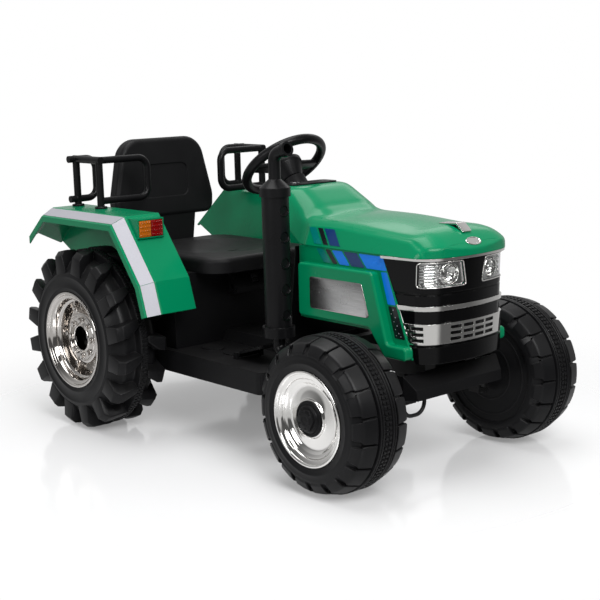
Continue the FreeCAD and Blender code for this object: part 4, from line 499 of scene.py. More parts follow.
@dataclass
class Soup:
    """Vertices and faces of one piece, in millimetres from the rear axle on the ground."""

    verts: list[Vector] = field(default_factory=list)
    faces: list[tuple[int, ...]] = field(default_factory=list)

    def add(self, points: Iterable[Sequence[float]], faces: Iterable[Sequence[int]]) -> Soup:
        """Take in points and the faces over them.

        Args:
            points: corner places.
            faces: corner numbers of each face, counted from the first of these points.

        Returns:
            This soup.
        """
        base = len(self.verts)
        self.verts.extend(Vector(point) for point in points)
        self.faces.extend(tuple(base + number for number in face) for face in faces)
        return self

    def merge(self, other: Soup, matrix: Matrix = Matrix.Identity(4)) -> Soup:
        """Take in a moved copy of another soup."""
        return self.add([matrix @ point for point in other.verts], other.faces)

    def grid(self, rows: Net, wrap_rows: bool = False, wrap_columns: bool = False) -> Soup:
        """Take in a net of quads.

        Args:
            rows: rows of points, all of one length.
            wrap_rows: join the last row to the first.
            wrap_columns: join the last column to the first.

        Returns:
            This soup.
        """
        tall, wide = len(rows), len(rows[0])
        faces = []
        for row in range(tall if wrap_rows else tall - 1):
            for column in range(wide if wrap_columns else wide - 1):
                below, beside = (row + 1) % tall, (column + 1) % wide
                faces.append((row * wide + column, row * wide + beside,
                              below * wide + beside, below * wide + column))
        return self.add([point for row in rows for point in row], faces)

    def lathe(self, profile: Sequence[Pair], segments: int, closed: bool = True) -> Soup:
        """Turn (radius, y) points about the y axis.

        Args:
            profile: section points in order.
            segments: steps round the axis.
            closed: join the last point to the first.

        Returns:
            This soup.
        """
        rows = [[(radius * math.cos(angle), y, radius * math.sin(angle)) for radius, y in profile]
                for angle in turns(segments)]
        return self.grid(rows, wrap_rows=True, wrap_columns=closed)

    def loft(self, low: Sequence[Vector], high: Sequence[Vector]) -> Soup:
        """Take in the body between two rings of one size.

        Args:
            low: corners of the foot.
            high: corners of the top.

        Returns:
            This soup.
        """
        count = len(low)
        caps = [tuple(reversed(range(count))), tuple(range(count, 2 * count))]
        return self.add([*low, *high], band(count) + caps)

    def prism(self, outline: Sequence[Sequence[float]], way: Sequence[float]) -> Soup:
        """Take in a straight prism on an outline."""
        low = [Vector(point) for point in outline]
        return self.loft(low, [point + Vector(way) for point in low])

    def tube(self, path: Sequence[Vector], radius: float, sides: int = 20) -> Soup:
        """Sweep a round bar along a path.

        Args:
            path: points along the middle.
            radius: radius of the bar.
            sides: steps round it.

        Returns:
            This soup.
        """
        rows = []
        across = Vector(TUBE_START)
        for place, point in enumerate(path):
            ahead = (path[min(place + 1, len(path) - 1)] - path[max(place - 1, 0)]).normalized()
            across = (across - ahead * across.dot(ahead)).normalized()
            other = ahead.cross(across)
            rows.append([point + radius * (math.cos(a) * across + math.sin(a) * other)
                         for a in turns(sides)])
        first = len(self.verts)
        self.grid(rows, wrap_columns=True)
        last = len(self.verts) - sides
        self.faces.append(tuple(first + n for n in reversed(range(sides))))
        self.faces.append(tuple(last + n for n in range(sides)))
        return self

    def slab(self, top: Net, under: Net) -> Soup:
        """Take in the sheet between two nets of one size.

        Args:
            top: rows of points of the outer face.
            under: rows of points of the inner face.

        Returns:
            This soup.
        """
        self.grid(top).grid(under)
        for line in (0, -1):
            self.grid([top[line], under[line]])
            self.grid([[row[line] for row in top], [row[line] for row in under]])
        return self

    def probe(self) -> Probe:
        """Make a probe for the surface of this soup."""
        return Probe(BVHTree.FromPolygons(self.verts, self.faces))

    def solid(self) -> bmesh.types.BMesh:
        """Weld the faces into a clean mesh with outward normals.

        Returns:
            The mesh being edited.
        """
        mesh = bmesh.new()
        points = [mesh.verts.new(point) for point in self.verts]
        for face in self.faces:
            corners = [points[number] for number in dict.fromkeys(face)]
            if len(corners) > 2:
                mesh.faces.new(corners)
        bmesh.ops.remove_doubles(mesh, verts=mesh.verts, dist=WELD)
        bmesh.ops.dissolve_degenerate(mesh, edges=mesh.edges, dist=SLIVER)
        bmesh.ops.recalc_face_normals(mesh, faces=mesh.faces)
        return mesh

    def bevelled(self, width: float, segments: int = BEVEL_STEPS) -> Soup:
        """Round the sharp edges.

        Args:
            width: width of the rounding.
            segments: steps across it.

        Returns:
            A new soup.
        """
        mesh = self.solid()
        sharp = [edge for edge in mesh.edges if edge.calc_face_angle(0) > SHARP]
        bmesh.ops.bevel(mesh, geom=sharp, offset=width, segments=segments, profile=BEVEL_PROFILE,
                        affect="EDGES", clamp_overlap=True)
        mesh.verts.index_update()
        made = Soup([point.co.copy() for point in mesh.verts],
                    [tuple(point.index for point in face.verts) for face in mesh.faces])
        mesh.free()
        return made

    def piece(self, name: str, finish: Finish, slot: str, replaces: Sequence[str] = (),
              matrix: Matrix = Matrix.Identity(4), body: str = "chassis") -> None:
        """Make a shown piece that rides on a body.

        Args:
            name: name of the piece.
            finish: its surface.
            slot: not used.
            replaces: CAD nodes it stands for.
            matrix: where it goes, in millimetres from the rear axle.
            body: CAD body it moves with.
        """
        solid = Soup().merge(self, matrix).solid()
        bmesh.ops.translate(solid, verts=solid.verts, vec=(REAR_AXLE_X, 0, 0))
        bmesh.ops.scale(solid, verts=solid.verts, vec=(MM, MM, MM))
        mesh = bpy.data.meshes.new(name)
        solid.to_mesh(mesh)
        solid.free()
        mesh.shade_smooth()
        mesh.set_sharp_from_angle(angle=SMOOTH)
        mesh.materials.append(finish.material())
        made = bpy.data.objects.new(name, mesh)
        bpy.context.scene.collection.objects.link(made)
        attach(made, body)
        if replaces:
            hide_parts(*replaces)
        LOG.info("piece %s on %s: %d faces", name, body, len(mesh.polygons))

    def pair(self, name: str, finish: Finish, slot: str, *nodes: str) -> None:
        """Make a piece on the right of the chassis and its mirror image on the left.

        Args:
            name: name of the piece, without its side.
            finish: its surface.
            slot: passed on to piece, which does not use it.
            nodes: CAD nodes it stands for, without their side.
        """
        for side in Side:
            replaces = ["%s_%s" % (node, side.word) for node in nodes]
            self.piece("%s_%s" % (name, side.word), finish, slot, replaces, side.flip)


@dataclass
class Probe:
    """Finds points on a surface, in millimetres from the rear axle on the ground."""

    tree: BVHTree

    @classmethod
    def of(cls, node: str) -> Probe:
        """Make a probe for a CAD node.

        Args:
            node: name of the node.

        Returns:
            The probe.
        """
        shown = bpy.data.objects[node]
        shift = Vector((REAR_AXLE_X, 0, 0))
        points = [(shown.matrix_world @ point.co) / MM - shift for point in shown.data.vertices]
        return cls(BVHTree.FromPolygons(points, [tuple(face.vertices) for face in shown.data.polygons]))

    def hit(self, start: Sequence[float], way: Sequence[float], reach: float = FRONT_X) -> Vector | None:
        """Place where a line first meets the surface, or nothing where it misses."""
        return self.tree.ray_cast(Vector(start), Vector(way), reach)[0]

    def front(self, y: float, z: float) -> Vector | None:
        """Place where a line from before the tractor first meets the surface."""
        return self.hit((FRONT_X, y, z), BACKWARD)

    def lifted(self, start: Sequence[float], way: Sequence[float], lift: float) -> Vector:
        """Place a little over the surface.

        Args:
            start: where the line starts.
            way: its direction.
            lift: height over the surface.

        Returns:
            The place, or the start where the line misses.
        """
        place, normal, _, _ = self.tree.ray_cast(Vector(start), Vector(way))
        if place is None:
            return Vector(start)
        return place + normal * math.copysign(lift, -normal.dot(Vector(way)))


def bent(points: Sequence[Triple], bend: float) -> list[Vector]:
    """Path of straight runs joined by arcs.

    Args:
        points: corners of the path.
        bend: radius of the arcs.

    Returns:
        Points along the path.
    """
    corners = [Vector(point) for point in points]
    path = [corners[0]]
    for before, corner, after in zip(corners, corners[1:], corners[2:]):
        back, ahead = (before - corner).normalized(), (after - corner).normalized()
        half = back.angle(ahead) / 2
        centre = corner + (back + ahead).normalized() * (bend / math.sin(half))
        start = corner + back * (bend / math.tan(half)) - centre
        end = corner + ahead * (bend / math.tan(half)) - centre
        turn = start.angle(end)
        for place in range(ARC_STEPS + 1):
            share = place / ARC_STEPS
            along = start * math.sin((1 - share) * turn) + end * math.sin(share * turn)
            path.append(centre + along / math.sin(turn))
    return path + [corners[-1]]


def rounded(points: Sequence[Pair], radius: float) -> list[Pair]:
    """Flat closed outline with rounded corners.

    Args:
        points: corners in order.
        radius: corner radius.

    Returns:
        Points of the outline.
    """
    made: list[Pair] = []
    count = len(points)
    for place in range(count):
        corner = Vector(points[place])
        back, ahead = Vector(points[place - 1]) - corner, Vector(points[(place + 1) % count]) - corner
        half = back.angle(ahead) / 2
        reach = min(radius / math.tan(half), CORNER_REACH * min(back.length, ahead.length))
        first, last = corner + back.normalized() * reach, corner + ahead.normalized() * reach
        for number in range(CORNER_STEPS + 1):
            share = number / CORNER_STEPS
            point = first.lerp(corner, share).lerp(corner.lerp(last, share), share)
            made.append((point.x, point.y))
    return made


def hexagon(radius: float, height: float, width: float = 0.6) -> Soup:
    """Bevelled nut that stands on the origin and points to minus y."""
    ring = [(radius * math.cos(turn), 0, radius * math.sin(turn)) for turn in turns(6)]
    return Soup().prism(ring, (0, -height, 0)).bevelled(width)


def sheet(outline: Iterable[Pair], y: float, depth: float) -> Soup:
    """Plate that stands along the tractor, from an outline of x and z."""
    return Soup().prism([(x, y, z) for x, z in outline], (0, depth, 0))


def screw_head(radius: float, height: float) -> Soup:
    """Domed screw head with a cross slot, standing on the origin towards minus y.

    Args:
        radius: head radius.
        height: head height.

    Returns:
        The screw head.
    """
    head = Soup().lathe([(radius * out, height * up) for out, up in SCREW_DOME], SCREW_STEPS, closed=False)
    long, wide, deep = SCREW_SLOT
    bar = Soup().prism([(x * long * radius, 0, z * wide * radius) for x, z in SQUARE], (0, -deep * height, 0))
    return head.merge(bar).merge(bar, spun(90))


class SubAssembly:
    """A group of pieces that is built and dressed together."""

    nodes: tuple[tuple[str, Finish], ...] = ()

    def build(self) -> None:
        """Make the pieces; a group of kept CAD nodes makes none."""

    def dress(self) -> None:
        """Give the kept CAD nodes their finishes."""
        for name, finish in self.nodes:
            shown = bpy.data.objects[name]
            shown.data.materials.clear()
            shown.data.materials.append(finish.material())
            LOG.info("node %s: %s", name, finish.name)


@dataclass
class Wheel(SubAssembly):
    """What front and rear wheels share: place, tread and rings of fittings."""

    side: Side
    x: float
    radius: float
    width: float
    inner_y: float
    body: str
    blocks: int = 16
    teeth: int = 132
    # length round the tread, width across it and height
    tooth: Triple = (6.4, 7.0, 2.6)
    tooth_foot: float = 205.6
    tooth_taper: Pair = (0.7, 0.86)
    tooth_y: float = 4.5
    tooth_slant: float = 14.0
    cover_y: float = 62.0
    tyre_steps: int = 160
    rim_steps: int = 128
    rim_section: tuple[Pair, ...] = ()

    def matrix(self) -> Matrix:
        """Place of the wheel; the left one is mirrored."""
        middle = Matrix.Translation((self.x, -self.inner_y - self.width / 2, self.radius))
        return self.side.flip @ middle

    @property
    def face(self) -> float:
        """Depth from which the cover is measured, from the middle of the wheel."""
        return self.cover_y - self.width / 2

    def block(self, row: int) -> Soup:
        """One block of the tread, which each kind of wheel shapes itself."""
        raise NotImplementedError

    def tread(self, section: Sequence[Pair]) -> Soup:
        """Tyre with its two rows of blocks and of slanted teeth.

        Args:
            section: closed section of the tyre, as radius and y.

        Returns:
            The tyre.
        """
        tyre = Soup().lathe(section, self.tyre_steps)
        long, wide, high = self.tooth
        tooth = Soup().prism([(x * long / 2, y * wide / 2, self.tooth_foot) for x, y in SQUARE], (0, 0, high))
        top = len(SQUARE)
        tooth.verts[top:] = [Vector((self.tooth_taper[0] * point.x, self.tooth_taper[1] * point.y, point.z))
                             for point in tooth.verts[top:]]
        for row, stagger in ((-1, math.pi / self.blocks), (1, 0.0)):
            self.ring(tyre, self.block(row), self.blocks, start=stagger)
            lean = Matrix.Translation((0, row * self.tooth_y, 0)) @ spun(row * self.tooth_slant, "Z")
            self.ring(tyre, Soup().merge(tooth, lean), self.teeth)
        return tyre

    @staticmethod
    def ring(soup: Soup, part: Soup, count: int, place: Triple = (0, 0, 0), start: float = 0.0) -> None:
        """Add copies of a part round the axle.

        Args:
            soup: soup that takes them.
            part: what is copied.
            count: number of copies.
            place: where the first one goes before it is turned.
            start: turn of the first one.
        """
        for turn in turns(count):
            soup.merge(part, Matrix.Rotation(turn + start, 4, "Y") @ Matrix.Translation(place))

    def show(self, soup: Soup, kind: str, finish: Finish, slot: str, node: str) -> None:
        """Make a piece of the wheel that stands for one of its CAD nodes."""
        nodes = ["%s_%s" % (node, self.side.word)]
        soup.piece("%s_%s" % (kind, self.body), finish, slot, nodes, self.matrix(), self.body)

    def cover(self) -> Soup:
        """Turned cover of the rim."""
        section = [(radius, self.face - height) for radius, height in self.rim_section]
        return Soup().lathe(section, self.rim_steps)


@dataclass
class RearWheel(Wheel):
    """Lugged rear wheel with a deep chromed cover."""

    lug_width: float = 43.0
    lug_sweep: float = 18.0
    lug_inner: float = 9.4
    lug_gap: float = 0.2
    # share lost over the height, radius at the foot and height
    lug_taper: Triple = (0.38, 152.0, 64.0)
    lug_rounding: float = 2.2
    # share of width, of sweep and across the tread, then lower and upper radius
    lug_corners: tuple[tuple[float, ...], ...] = (
        (-0.5, 0.0, 1.0, 157.0, 198.0), (0.5, 0.0, 1.0, 157.0, 198.0), (0.52, 0.13, 0.79, 166.0, 210.0),
        (0.56, 0.3, 0.5, 178.0, 210.0), (0.46, 0.72, 0.2, 180.0, 210.0), (0.3, 1.0, 0.0, 182.0, 210.0),
        (-0.2, 1.0, 0.0, 182.0, 210.0), (-0.34, 0.6, 0.26, 180.0, 210.0), (-0.5, 0.25, 0.55, 178.0, 210.0),
        (-0.5, 0.12, 0.79, 166.0, 210.0))
    web: tuple[Triple, ...] = ((61.5, 0, -4), (89.5, 0, -4), (89.5, 0, 4), (61.5, 0, 4))
    web_height: float = 16.0
    web_rounding: float = 1.4
    webs: int = 6
    bolts: int = 8
    # corner radius and height
    nut: Pair = (6.0, 5.5)
    bolt: Pair = (7.0, 6.5)
    washer: tuple[Pair, ...] = ((0, 0), (9, 0), (9, -1.2), (8.2, -1.8), (0, -1.8))
    washer_steps: int = 24
    web_depth: float = 9.0
    # distance from the axle and depth under the cover's face
    nut_place: Pair = (76.0, 24.6)
    washer_place: Pair = (42.6, 33.6)
    bolt_place: Pair = (42.6, 35.0)
    tyre_section: tuple[Pair, ...] = (
        (6.08, -3.5), (113.7, -3.5), (113.7, -62), (114.6, -64.4), (117, -65.5), (121, -65.5), (122, -66.1),
        (124, -66.1), (125, -65.5), (147, -65.5), (148.2, -66), (150, -66), (151.2, -65.5), (154, -65.4),
        (157.2, -64.2), (160, -61.6), (183, -42.5), (185.5, -37), (186.5, -28), (186.5, -16), (188, -12),
        (192, -10.2), (203, -9.6), (205.4, -9), (206, -8), (206, 8), (205.4, 9), (203, 9.6), (192, 10.2),
        (188, 12), (186.5, 16), (186.5, 28), (185.5, 37), (183, 42.5), (160, 61.6), (157.2, 64.2),
        (154, 65.4), (142, 65.5), (140, 64.5), (140, 51.5), (90, 51.5), (89, 52.3), (86, 52.3), (85, 51.5),
        (16, 51.5), (16, 120.5), (6.08, 120.5))
    rim_section: tuple[Pair, ...] = (
        (113.4, 0), (113.4, 61), (112.8, 62.7), (111.2, 63.5), (108.6, 63.3), (106.8, 62), (105.4, 58.8),
        (104.4, 57.5), (101, 56.2), (98.6, 55.3), (97.2, 53.6), (95.2, 44), (94.2, 40.4), (92.8, 38.9),
        (90, 38), (88.6, 36.8), (86.4, 25), (84.4, 13.6), (82.8, 11.8), (80, 11.4), (68, 11.4),
        (65.6, 12.4), (64.2, 15), (61.2, 29), (60, 32), (58, 33), (54, 33.2), (53, 32.2), (51.6, 32.2),
        (50.4, 33.4), (35, 34.2), (32, 35.2), (31, 36.4), (29.8, 36.6), (28.4, 35.4), (28.2, 30), (56, 28),
        (60.6, 8.4), (86, 8.4), (110, 56), (110.4, 0))

    def block(self, row: int) -> Soup:
        """One tread lug at the foot of the tyre.

        Args:
            row: -1 for the outer row, 1 for the inner row.

        Returns:
            The lug with rounded edges.
        """
        reach = self.width / 2 - self.lug_gap - self.lug_inner
        taper, start, height = self.lug_taper
        rings: list[list[Triple]] = [[], []]
        for along, sweep, across, low, high in self.lug_corners:
            y = row * (self.lug_inner + across * reach)
            for ring, radius in zip(rings, (low, high)):
                share = 1 - taper * (radius - start) / height
                x = share * along * self.lug_width + sweep * self.lug_sweep
                ring.append((x, y, -math.sqrt(radius * radius - x * x)))
        count = len(self.lug_corners)
        caps = [tuple(reversed(range(count))), (count, count + 1, count + 2, 2 * count - 1),
                tuple(range(count + 2, 2 * count))]
        lug = Soup().add(rings[0] + rings[1], band(count) + caps)
        return lug.bevelled(self.lug_rounding, FINE_BEVEL_STEPS)

    def build(self) -> None:
        """Make the tyre and its cover."""
        self.show(self.tread(self.tyre_section), "tyre", TREAD, "tread", "rear_tyre")
        rim = self.cover()
        web = Soup().prism(self.web, (0, -self.web_height, 0)).bevelled(self.web_rounding)
        washer = Soup().lathe(self.washer, self.washer_steps, closed=False)
        for count, part, (out, deep) in ((self.webs, web, (0.0, self.web_depth)),
                                         (self.webs, hexagon(*self.nut), self.nut_place),
                                         (self.bolts, washer, self.washer_place),
                                         (self.bolts, hexagon(*self.bolt), self.bolt_place)):
            self.ring(rim, part, count, (out, self.face - deep, 0))
        self.show(rim, "rim", RIM_CHROME, "chrome", "rear_rim")


@dataclass
class FrontWheel(Wheel):
    """Steered front wheel: ribbed band, shoulder blocks, stepped cover and hub cap."""

    blocks: int = 18
    teeth: int = 100
    tooth: Triple = (6.6, 7.0, 3.7)
    tooth_foot: float = 154.0
    cover_y: float = 30.0
    block_radius: float = 150.0
    # share of the block's half length, and sink
    block_ends: tuple[Pair, ...] = (
        (-1.0, 9.0), (-1.0, 1.4), (-0.94, 0.0), (-0.5, 0.0), (0.0, 0.0), (0.5, 0.0), (0.94, 0.0),
        (1.0, 1.4), (1.0, 9.0))
    shoulder_y: float = 57.0
    # shares of the sink that go inward and sideways
    tread_sink: Pair = (0.9, 0.0)
    shoulder_sink: Pair = (0.55, 0.75)
    cap_steps: int = 72
    cap_depth: float = 20.1
    # corner radius, height and edge rounding
    cap_nut: Triple = (23.5, 5.0, 1.2)
    cap_ring: tuple[Pair, ...] = ((8, -13.6), (13.5, -13.6), (13.2, -14.8), (8.4, -14.8))
    ring_steps: int = 40
    pin: tuple[Pair, ...] = ((0, -13), (2.2, -13), (2.2, -14.4), (1.6, -14.9), (0, -14.9))
    pin_steps: int = 14
    pins: int = 6
    pin_circle: float = 17.4
    tyre_half: tuple[Pair, ...] = (
        (154.4, 0), (154.4, 9.4), (154.6, 9.6), (154.6, 10.6), (157.2, 11), (158, 12), (158, 14.4),
        (157.2, 15.4), (154.8, 15.8), (154.8, 17), (157.2, 17.4), (158, 18.4), (158, 20), (157.2, 21),
        (153, 21.6), (150.4, 23), (150.4, 25), (148.6, 27), (145, 40), (140.5, 54), (128.5, 64.4),
        (126.5, 66.6), (124, 67.6), (120, 68))
    outer_half: tuple[Pair, ...] = (
        (112, 68), (111, 68.7), (108.6, 68.7), (107.6, 68), (99.4, 68), (97.2, 67.2), (96, 65), (96, 38),
        (6.08, 38))
    inner_half: tuple[Pair, ...] = (
        (114, 68), (112, 66.6), (112, 63), (96, 63), (95, 63.8), (92, 63.8), (91, 63), (62, 63), (61, 63.8),
        (58, 63.8), (57, 63), (6.08, 63))
    # y, radius and half length round the tread
    block_section: tuple[Triple, ...] = (
        (26.0, 146.0, 24.2), (26.2, 155.0, 24.2), (27.4, 156.0, 24.2), (40.0, 152.8, 24.2),
        (52.0, 149.5, 24.0), (56.0, 148.3, 23.0), (58.2, 146.8, 20.8), (60.4, 143.4, 19.4),
        (66.6, 132.6, 18.6), (67.7, 129.8, 18.2), (66.6, 124.0, 18.2))
    rim_section: tuple[Pair, ...] = (
        (95.7, 0), (95.7, 29), (95.2, 30.6), (94, 31.4), (92.4, 31.5), (90.6, 31), (89.4, 29.8),
        (88.6, 28.4), (86.5, 27.6), (82, 26.5), (80.6, 25.6), (79.4, 23.5), (77.8, 20.2), (76.6, 19.2),
        (72, 18.4), (70.6, 17.6), (67, 13.5), (64, 12.4), (60, 12.5), (50, 14.2), (41, 16), (39.5, 16.6),
        (38.8, 17.6), (38.2, 19.6), (37, 20.6), (35.2, 20.8), (33, 20.3), (28.7, 20.1), (28.7, 17.2),
        (40, 13.4), (60, 9.6), (66, 10.4), (76, 16), (79, 22.4), (88, 25.8), (93.2, 27.6), (93.2, 0))
    cap_section: tuple[Pair, ...] = (
        (0, 4), (28.4, 4), (28.4, 0), (35.2, 0), (36, -0.8), (36, -3.6), (35.2, -4.8), (33.4, -5.6),
        (31.4, -5.4), (30.6, -4.2), (28.4, -4.2), (27.4, -5.6), (26, -8.2), (24.6, -9), (0, -9))

    def block(self, row: int) -> Soup:
        """One shoulder block at the top of the tyre.

        Args:
            row: -1 for the outer row, 1 for the inner row.

        Returns:
            The block with softened ends.
        """
        rows = []
        for y, radius, span in self.block_section:
            down, back = self.tread_sink if y < self.shoulder_y else self.shoulder_sink
            line = []
            for column, sink in self.block_ends:
                angle = column * span / self.block_radius
                deep = radius - sink * down
                line.append((deep * math.sin(angle), row * (y - back * sink), deep * math.cos(angle)))
            rows.append(line)
        return Soup().grid(rows)

    def build(self) -> None:
        """Make the tyre, its cover and its hub cap."""
        inner = list(self.tyre_half) + list(self.inner_half)
        outer = [(radius, -y) for radius, y in reversed(self.tyre_half[1:] + self.outer_half)]
        self.show(self.tread(outer + inner), "tyre", TREAD, "tread", "front_tyre")
        self.show(self.cover(), "rim", CHROME, "chrome", "front_rim")
        cap = Soup().lathe(self.cap_section, self.cap_steps, closed=False)
        cap.merge(hexagon(*self.cap_nut), Matrix.Translation((0, self.cap_section[-1][1], 0)))
        cap.lathe(self.cap_ring, self.ring_steps)
        pin = Soup().lathe(self.pin, self.pin_steps, closed=False)
        self.ring(cap, pin, self.pins, (self.pin_circle, 0, 0), math.pi / self.pins)
        place = Matrix.Translation((0, self.face - self.cap_depth, 0))
        self.show(Soup().merge(cap, place), "cap", BLACK, "black", "front_hub_cap")


@dataclass
class Steering(SubAssembly):
    """Steering wheel with its horn button, and the gear below it."""

    centre: Triple = (336.0, 0.0, 606.0)
    tilt: float = 40.0
    ring: float = 94.0
    thickness: float = 11.0
    # steps round the bar and round the wheel
    rim_steps: tuple[int, int] = (24, 120)
    hub: tuple[Pair, ...] = (
        (6.3, -10), (6.3, -42), (25, -42), (39.2, -14), (40, -12), (40, -1.4), (39, 0.6), (24, 7.8),
        (22.4, 8.8), (20.6, 9), (19.5, 8), (19.5, 2.2), (0, 2.2), (0, -10))
    hub_steps: int = 72
    spoke: tuple[Triple, ...] = ((20, -12, -17), (92, -9, -10.2), (92, -9, 10.2), (20, -12, 17))
    spoke_height: float = 11.0
    spoke_rounding: float = 3.2
    spoke_turns: Triple = (90, 180, 270)
    nodes = (("horn_button", GLOSS_BLACK), ("steering_shaft", STEEL), ("tie_rod", FRAME_PAINT),
             ("knuckle_right", FRAME_PAINT), ("knuckle_left", FRAME_PAINT), ("kingpins", FRAME_PAINT),
             ("front_axle_beam", FRAME_PAINT), ("front_subframe", FRAME_PAINT))

    def build(self) -> None:
        """Make the rim, hub and spokes in one piece."""
        section = [(self.ring + self.thickness * math.cos(turn), self.thickness * math.sin(turn))
                   for turn in turns(self.rim_steps[0])]
        wheel = Soup().lathe(section, self.rim_steps[1]).lathe(self.hub, self.hub_steps)
        spoke = Soup().prism(self.spoke, (0, self.spoke_height, 0))
        spoke = spoke.bevelled(self.spoke_rounding, FINE_BEVEL_STEPS)
        for turn in self.spoke_turns:
            wheel.merge(spoke, spun(turn))
        place = Matrix.Translation(self.centre) @ spun(-self.tilt) @ spun(90, "X")
        wheel.piece("steering_rim", TUBE_BLACK, "black", ["steering_wheel"], place, "steering")


@dataclass
class Bodywork(SubAssembly):
    """Bonnet, cowl, walls and panels with their plates and film."""

    wall_y: float = 130.0
    panel_y: float = 150.0
    seam_z: float = 455.0
    rear_x: float = 390.4
    front_x: float = 903.0
    front_shares: tuple[float, ...] = (0.94, 0.86, 0.76, 0.64, 0.5, 0.34, 0.17, 0.0)
    side_panel: tuple[Pair, ...] = (
        (546.0, 499.0), (650.0, 499.0), (842.0, 487.0), (874.0, 472.0), (888.0, 450.0))
    side_lift: float = 2.6
    side_edge: float = 4.0
    sweep: tuple[Pair, Pair] = ((390.0, 540.0), (532.0, 455.0))
    skin_wall: float = 2.6
    column_hole: Pair = (31.0, 27.0)
    edge_lift: float = 0.3
    rear_gap: float = 0.2
    stations: int = 130
    station_power: float = 1.5
    arcs: int = 108
    reach: float = 260.0
    passes: int = 12
    smoothing: float = 0.125
    # y and z of the middle, and half length
    badge: Triple = (0.0, 480.0, 21.0)
    badge_span: float = 6.0
    badge_ratio: float = 0.5
    badge_steps: int = 48
    # share of the radius, and lift
    badge_profile: tuple[Pair, ...] = (
        (0, 0.7), (0.8, 0.7), (0.85, 1.7), (0.93, 1.7), (1, 0.8), (1, -3), (0, -3))
    # scoop wedge: the real scoop shape, coloured gloss black as painted shade where its green side lies in
    # shadow
    shade_wedge: tuple[Pair, ...] = (
        (806, 508), (824, 510), (864, 511), (872, 508), (880, 494), (866, 486), (820, 500))
    shade_wedge_half: float = 11.5
    shade_wedge_rounding: float = 1.2
    tip: tuple[Pair, ...] = (
        (822, 511.4), (869, 514.4), (887, 498), (884, 495.6), (868, 510.6), (822, 508.4))
    tip_half: float = 13.0
    tip_corner: float = 4.0
    tip_rounding: float = 0.7
    film_corner: float = 2.5
    film_thickness: float = 0.5
    shard_start: float = -200.0
    shard_net: tuple[int, int] = (8, 10)
    shard_lifts: Pair = (0.45, -0.8)
    speck_steps: int = 12
    speck_lift: float = 0.4
    speck_thickness: float = 0.3
    plate: tuple[Pair, ...] = ((584, 395), (739, 396), (761, 328), (584, 328))
    plate_corner: float = 7.0
    plate_thickness: float = 1.0
    plate_rounding: float = 0.5
    nodes = (("dash_panel", BLACK), ("side_wall_right", GREEN), ("side_wall_left", GREEN),
             ("side_panel_right", GREEN), ("side_panel_left", GREEN), ("power_button", SWITCH))
    films: tuple[tuple[str, Finish, tuple[Pair, ...]], ...] = (
        ("teal", TEAL_FILM, ((584, 452), (606, 452), (630, 424), (608, 424))),
        ("black", BLACK_FILM, ((612, 452), (626, 452), (650, 424), (636, 424))),
        ("blue", BLUE_FILM, ((632, 452), (662, 452), (686, 424), (656, 424))),
        ("deep", DEEP_FILM, ((667, 452), (706, 452), (730, 424), (691, 424))),
        ("light", BLUE_FILM, ((711, 452), (781, 452), (791, 424), (735, 424))),
        ("band", BLUE_FILM, ((775, 421), (791, 421), (815, 358), (793, 358))),
        ("foot", BLACK_FILM, ((794, 355), (816, 355), (840, 292), (812, 292))))
    shards: tuple[tuple[str, Finish, tuple[Pair, ...]], ...] = (
        ("teal", TEAL_FILM, ((553, 493), (575, 493), (602, 461), (580, 461))),
        ("ink", BLACK_FILM, ((581, 493), (595, 493), (622, 461), (608, 461))),
        ("night", DEEP_FILM, ((601, 493), (631, 493), (658, 461), (628, 461))))
    specks: tuple[Triple, ...] = (
        (808, 348, 1.3), (803, 340, 0.9), (814, 334, 1.1), (810, 325, 0.8), (819, 318, 1.4),
        (814, 310, 0.9), (823, 303, 1.1), (817, 298, 0.8), (829, 297, 1.2))

    def low(self, x: float) -> float:
        """Height of the bonnet's lower edge at one place along it."""
        (x0, z0), (x1, z1) = self.sweep
        return max(self.seam_z, z0 + (x - x0) * (z1 - z0) / (x1 - x0)) + self.edge_lift

    def radii(self, places: Sequence[float], angles: Sequence[float]) -> list[list[float]]:
        """Measure the bonnet round its lower middle line and smooth what is found.

        Args:
            places: stations along the bonnet.
            angles: angles round the middle line.

        Returns:
            Radius at each station and angle.
        """
        probe = Probe.of("hood")
        net = []
        for x in places:
            middle = Vector((x, 0, self.low(x)))
            ways = [Vector((0, math.cos(angle), math.sin(angle))) for angle in angles]
            hits = [probe.hit(middle + way * self.reach, -way, self.reach - 1) for way in ways]
            found = [number for number, place in enumerate(hits) if place is not None]
            row = []
            for number, way in enumerate(ways):
                one = hits[max((n for n in found if n <= number), default=found[0])] - middle
                two = hits[min((n for n in found if n >= number), default=found[-1])] - middle
                chord = two - one
                if chord.length < SHORTEST:
                    row.append(one.length)
                else:
                    row.append((one.y * chord.z - one.z * chord.y) / (way.y * chord.z - way.z * chord.y))
            net.append(row)
        for _ in range(self.passes):
            old = [row[:] for row in net]
            for i in range(1, len(places) - 1):
                for j in range(1, len(angles) - 1):
                    beside = old[i][j - 1] + old[i][j + 1] + old[i - 1][j] + old[i + 1][j]
                    net[i][j] = (1 - 4 * self.smoothing) * old[i][j] + self.smoothing * beside
        return net

    def emboss(self, x: float, z: float) -> float:
        """Height of the raised side panels over the bonnet.

        Args:
            x: place along the bonnet.
            z: height of the place.

        Returns:
            Lift in millimetres.
        """
        if not self.side_panel[0][0] < x < self.side_panel[-1][0]:
            return 0.0
        for (x0, z0), (x1, z1) in zip(self.side_panel, self.side_panel[1:]):
            if x <= x1:
                share = min(max((z0 + (x - x0) * (z1 - z0) / (x1 - x0) - z) / self.side_edge, 0), 1)
                break
        close = min(x - self.side_panel[0][0], self.side_panel[-1][0] - x) / self.side_edge
        return self.side_lift * min(share * share * (3 - 2 * share), close)

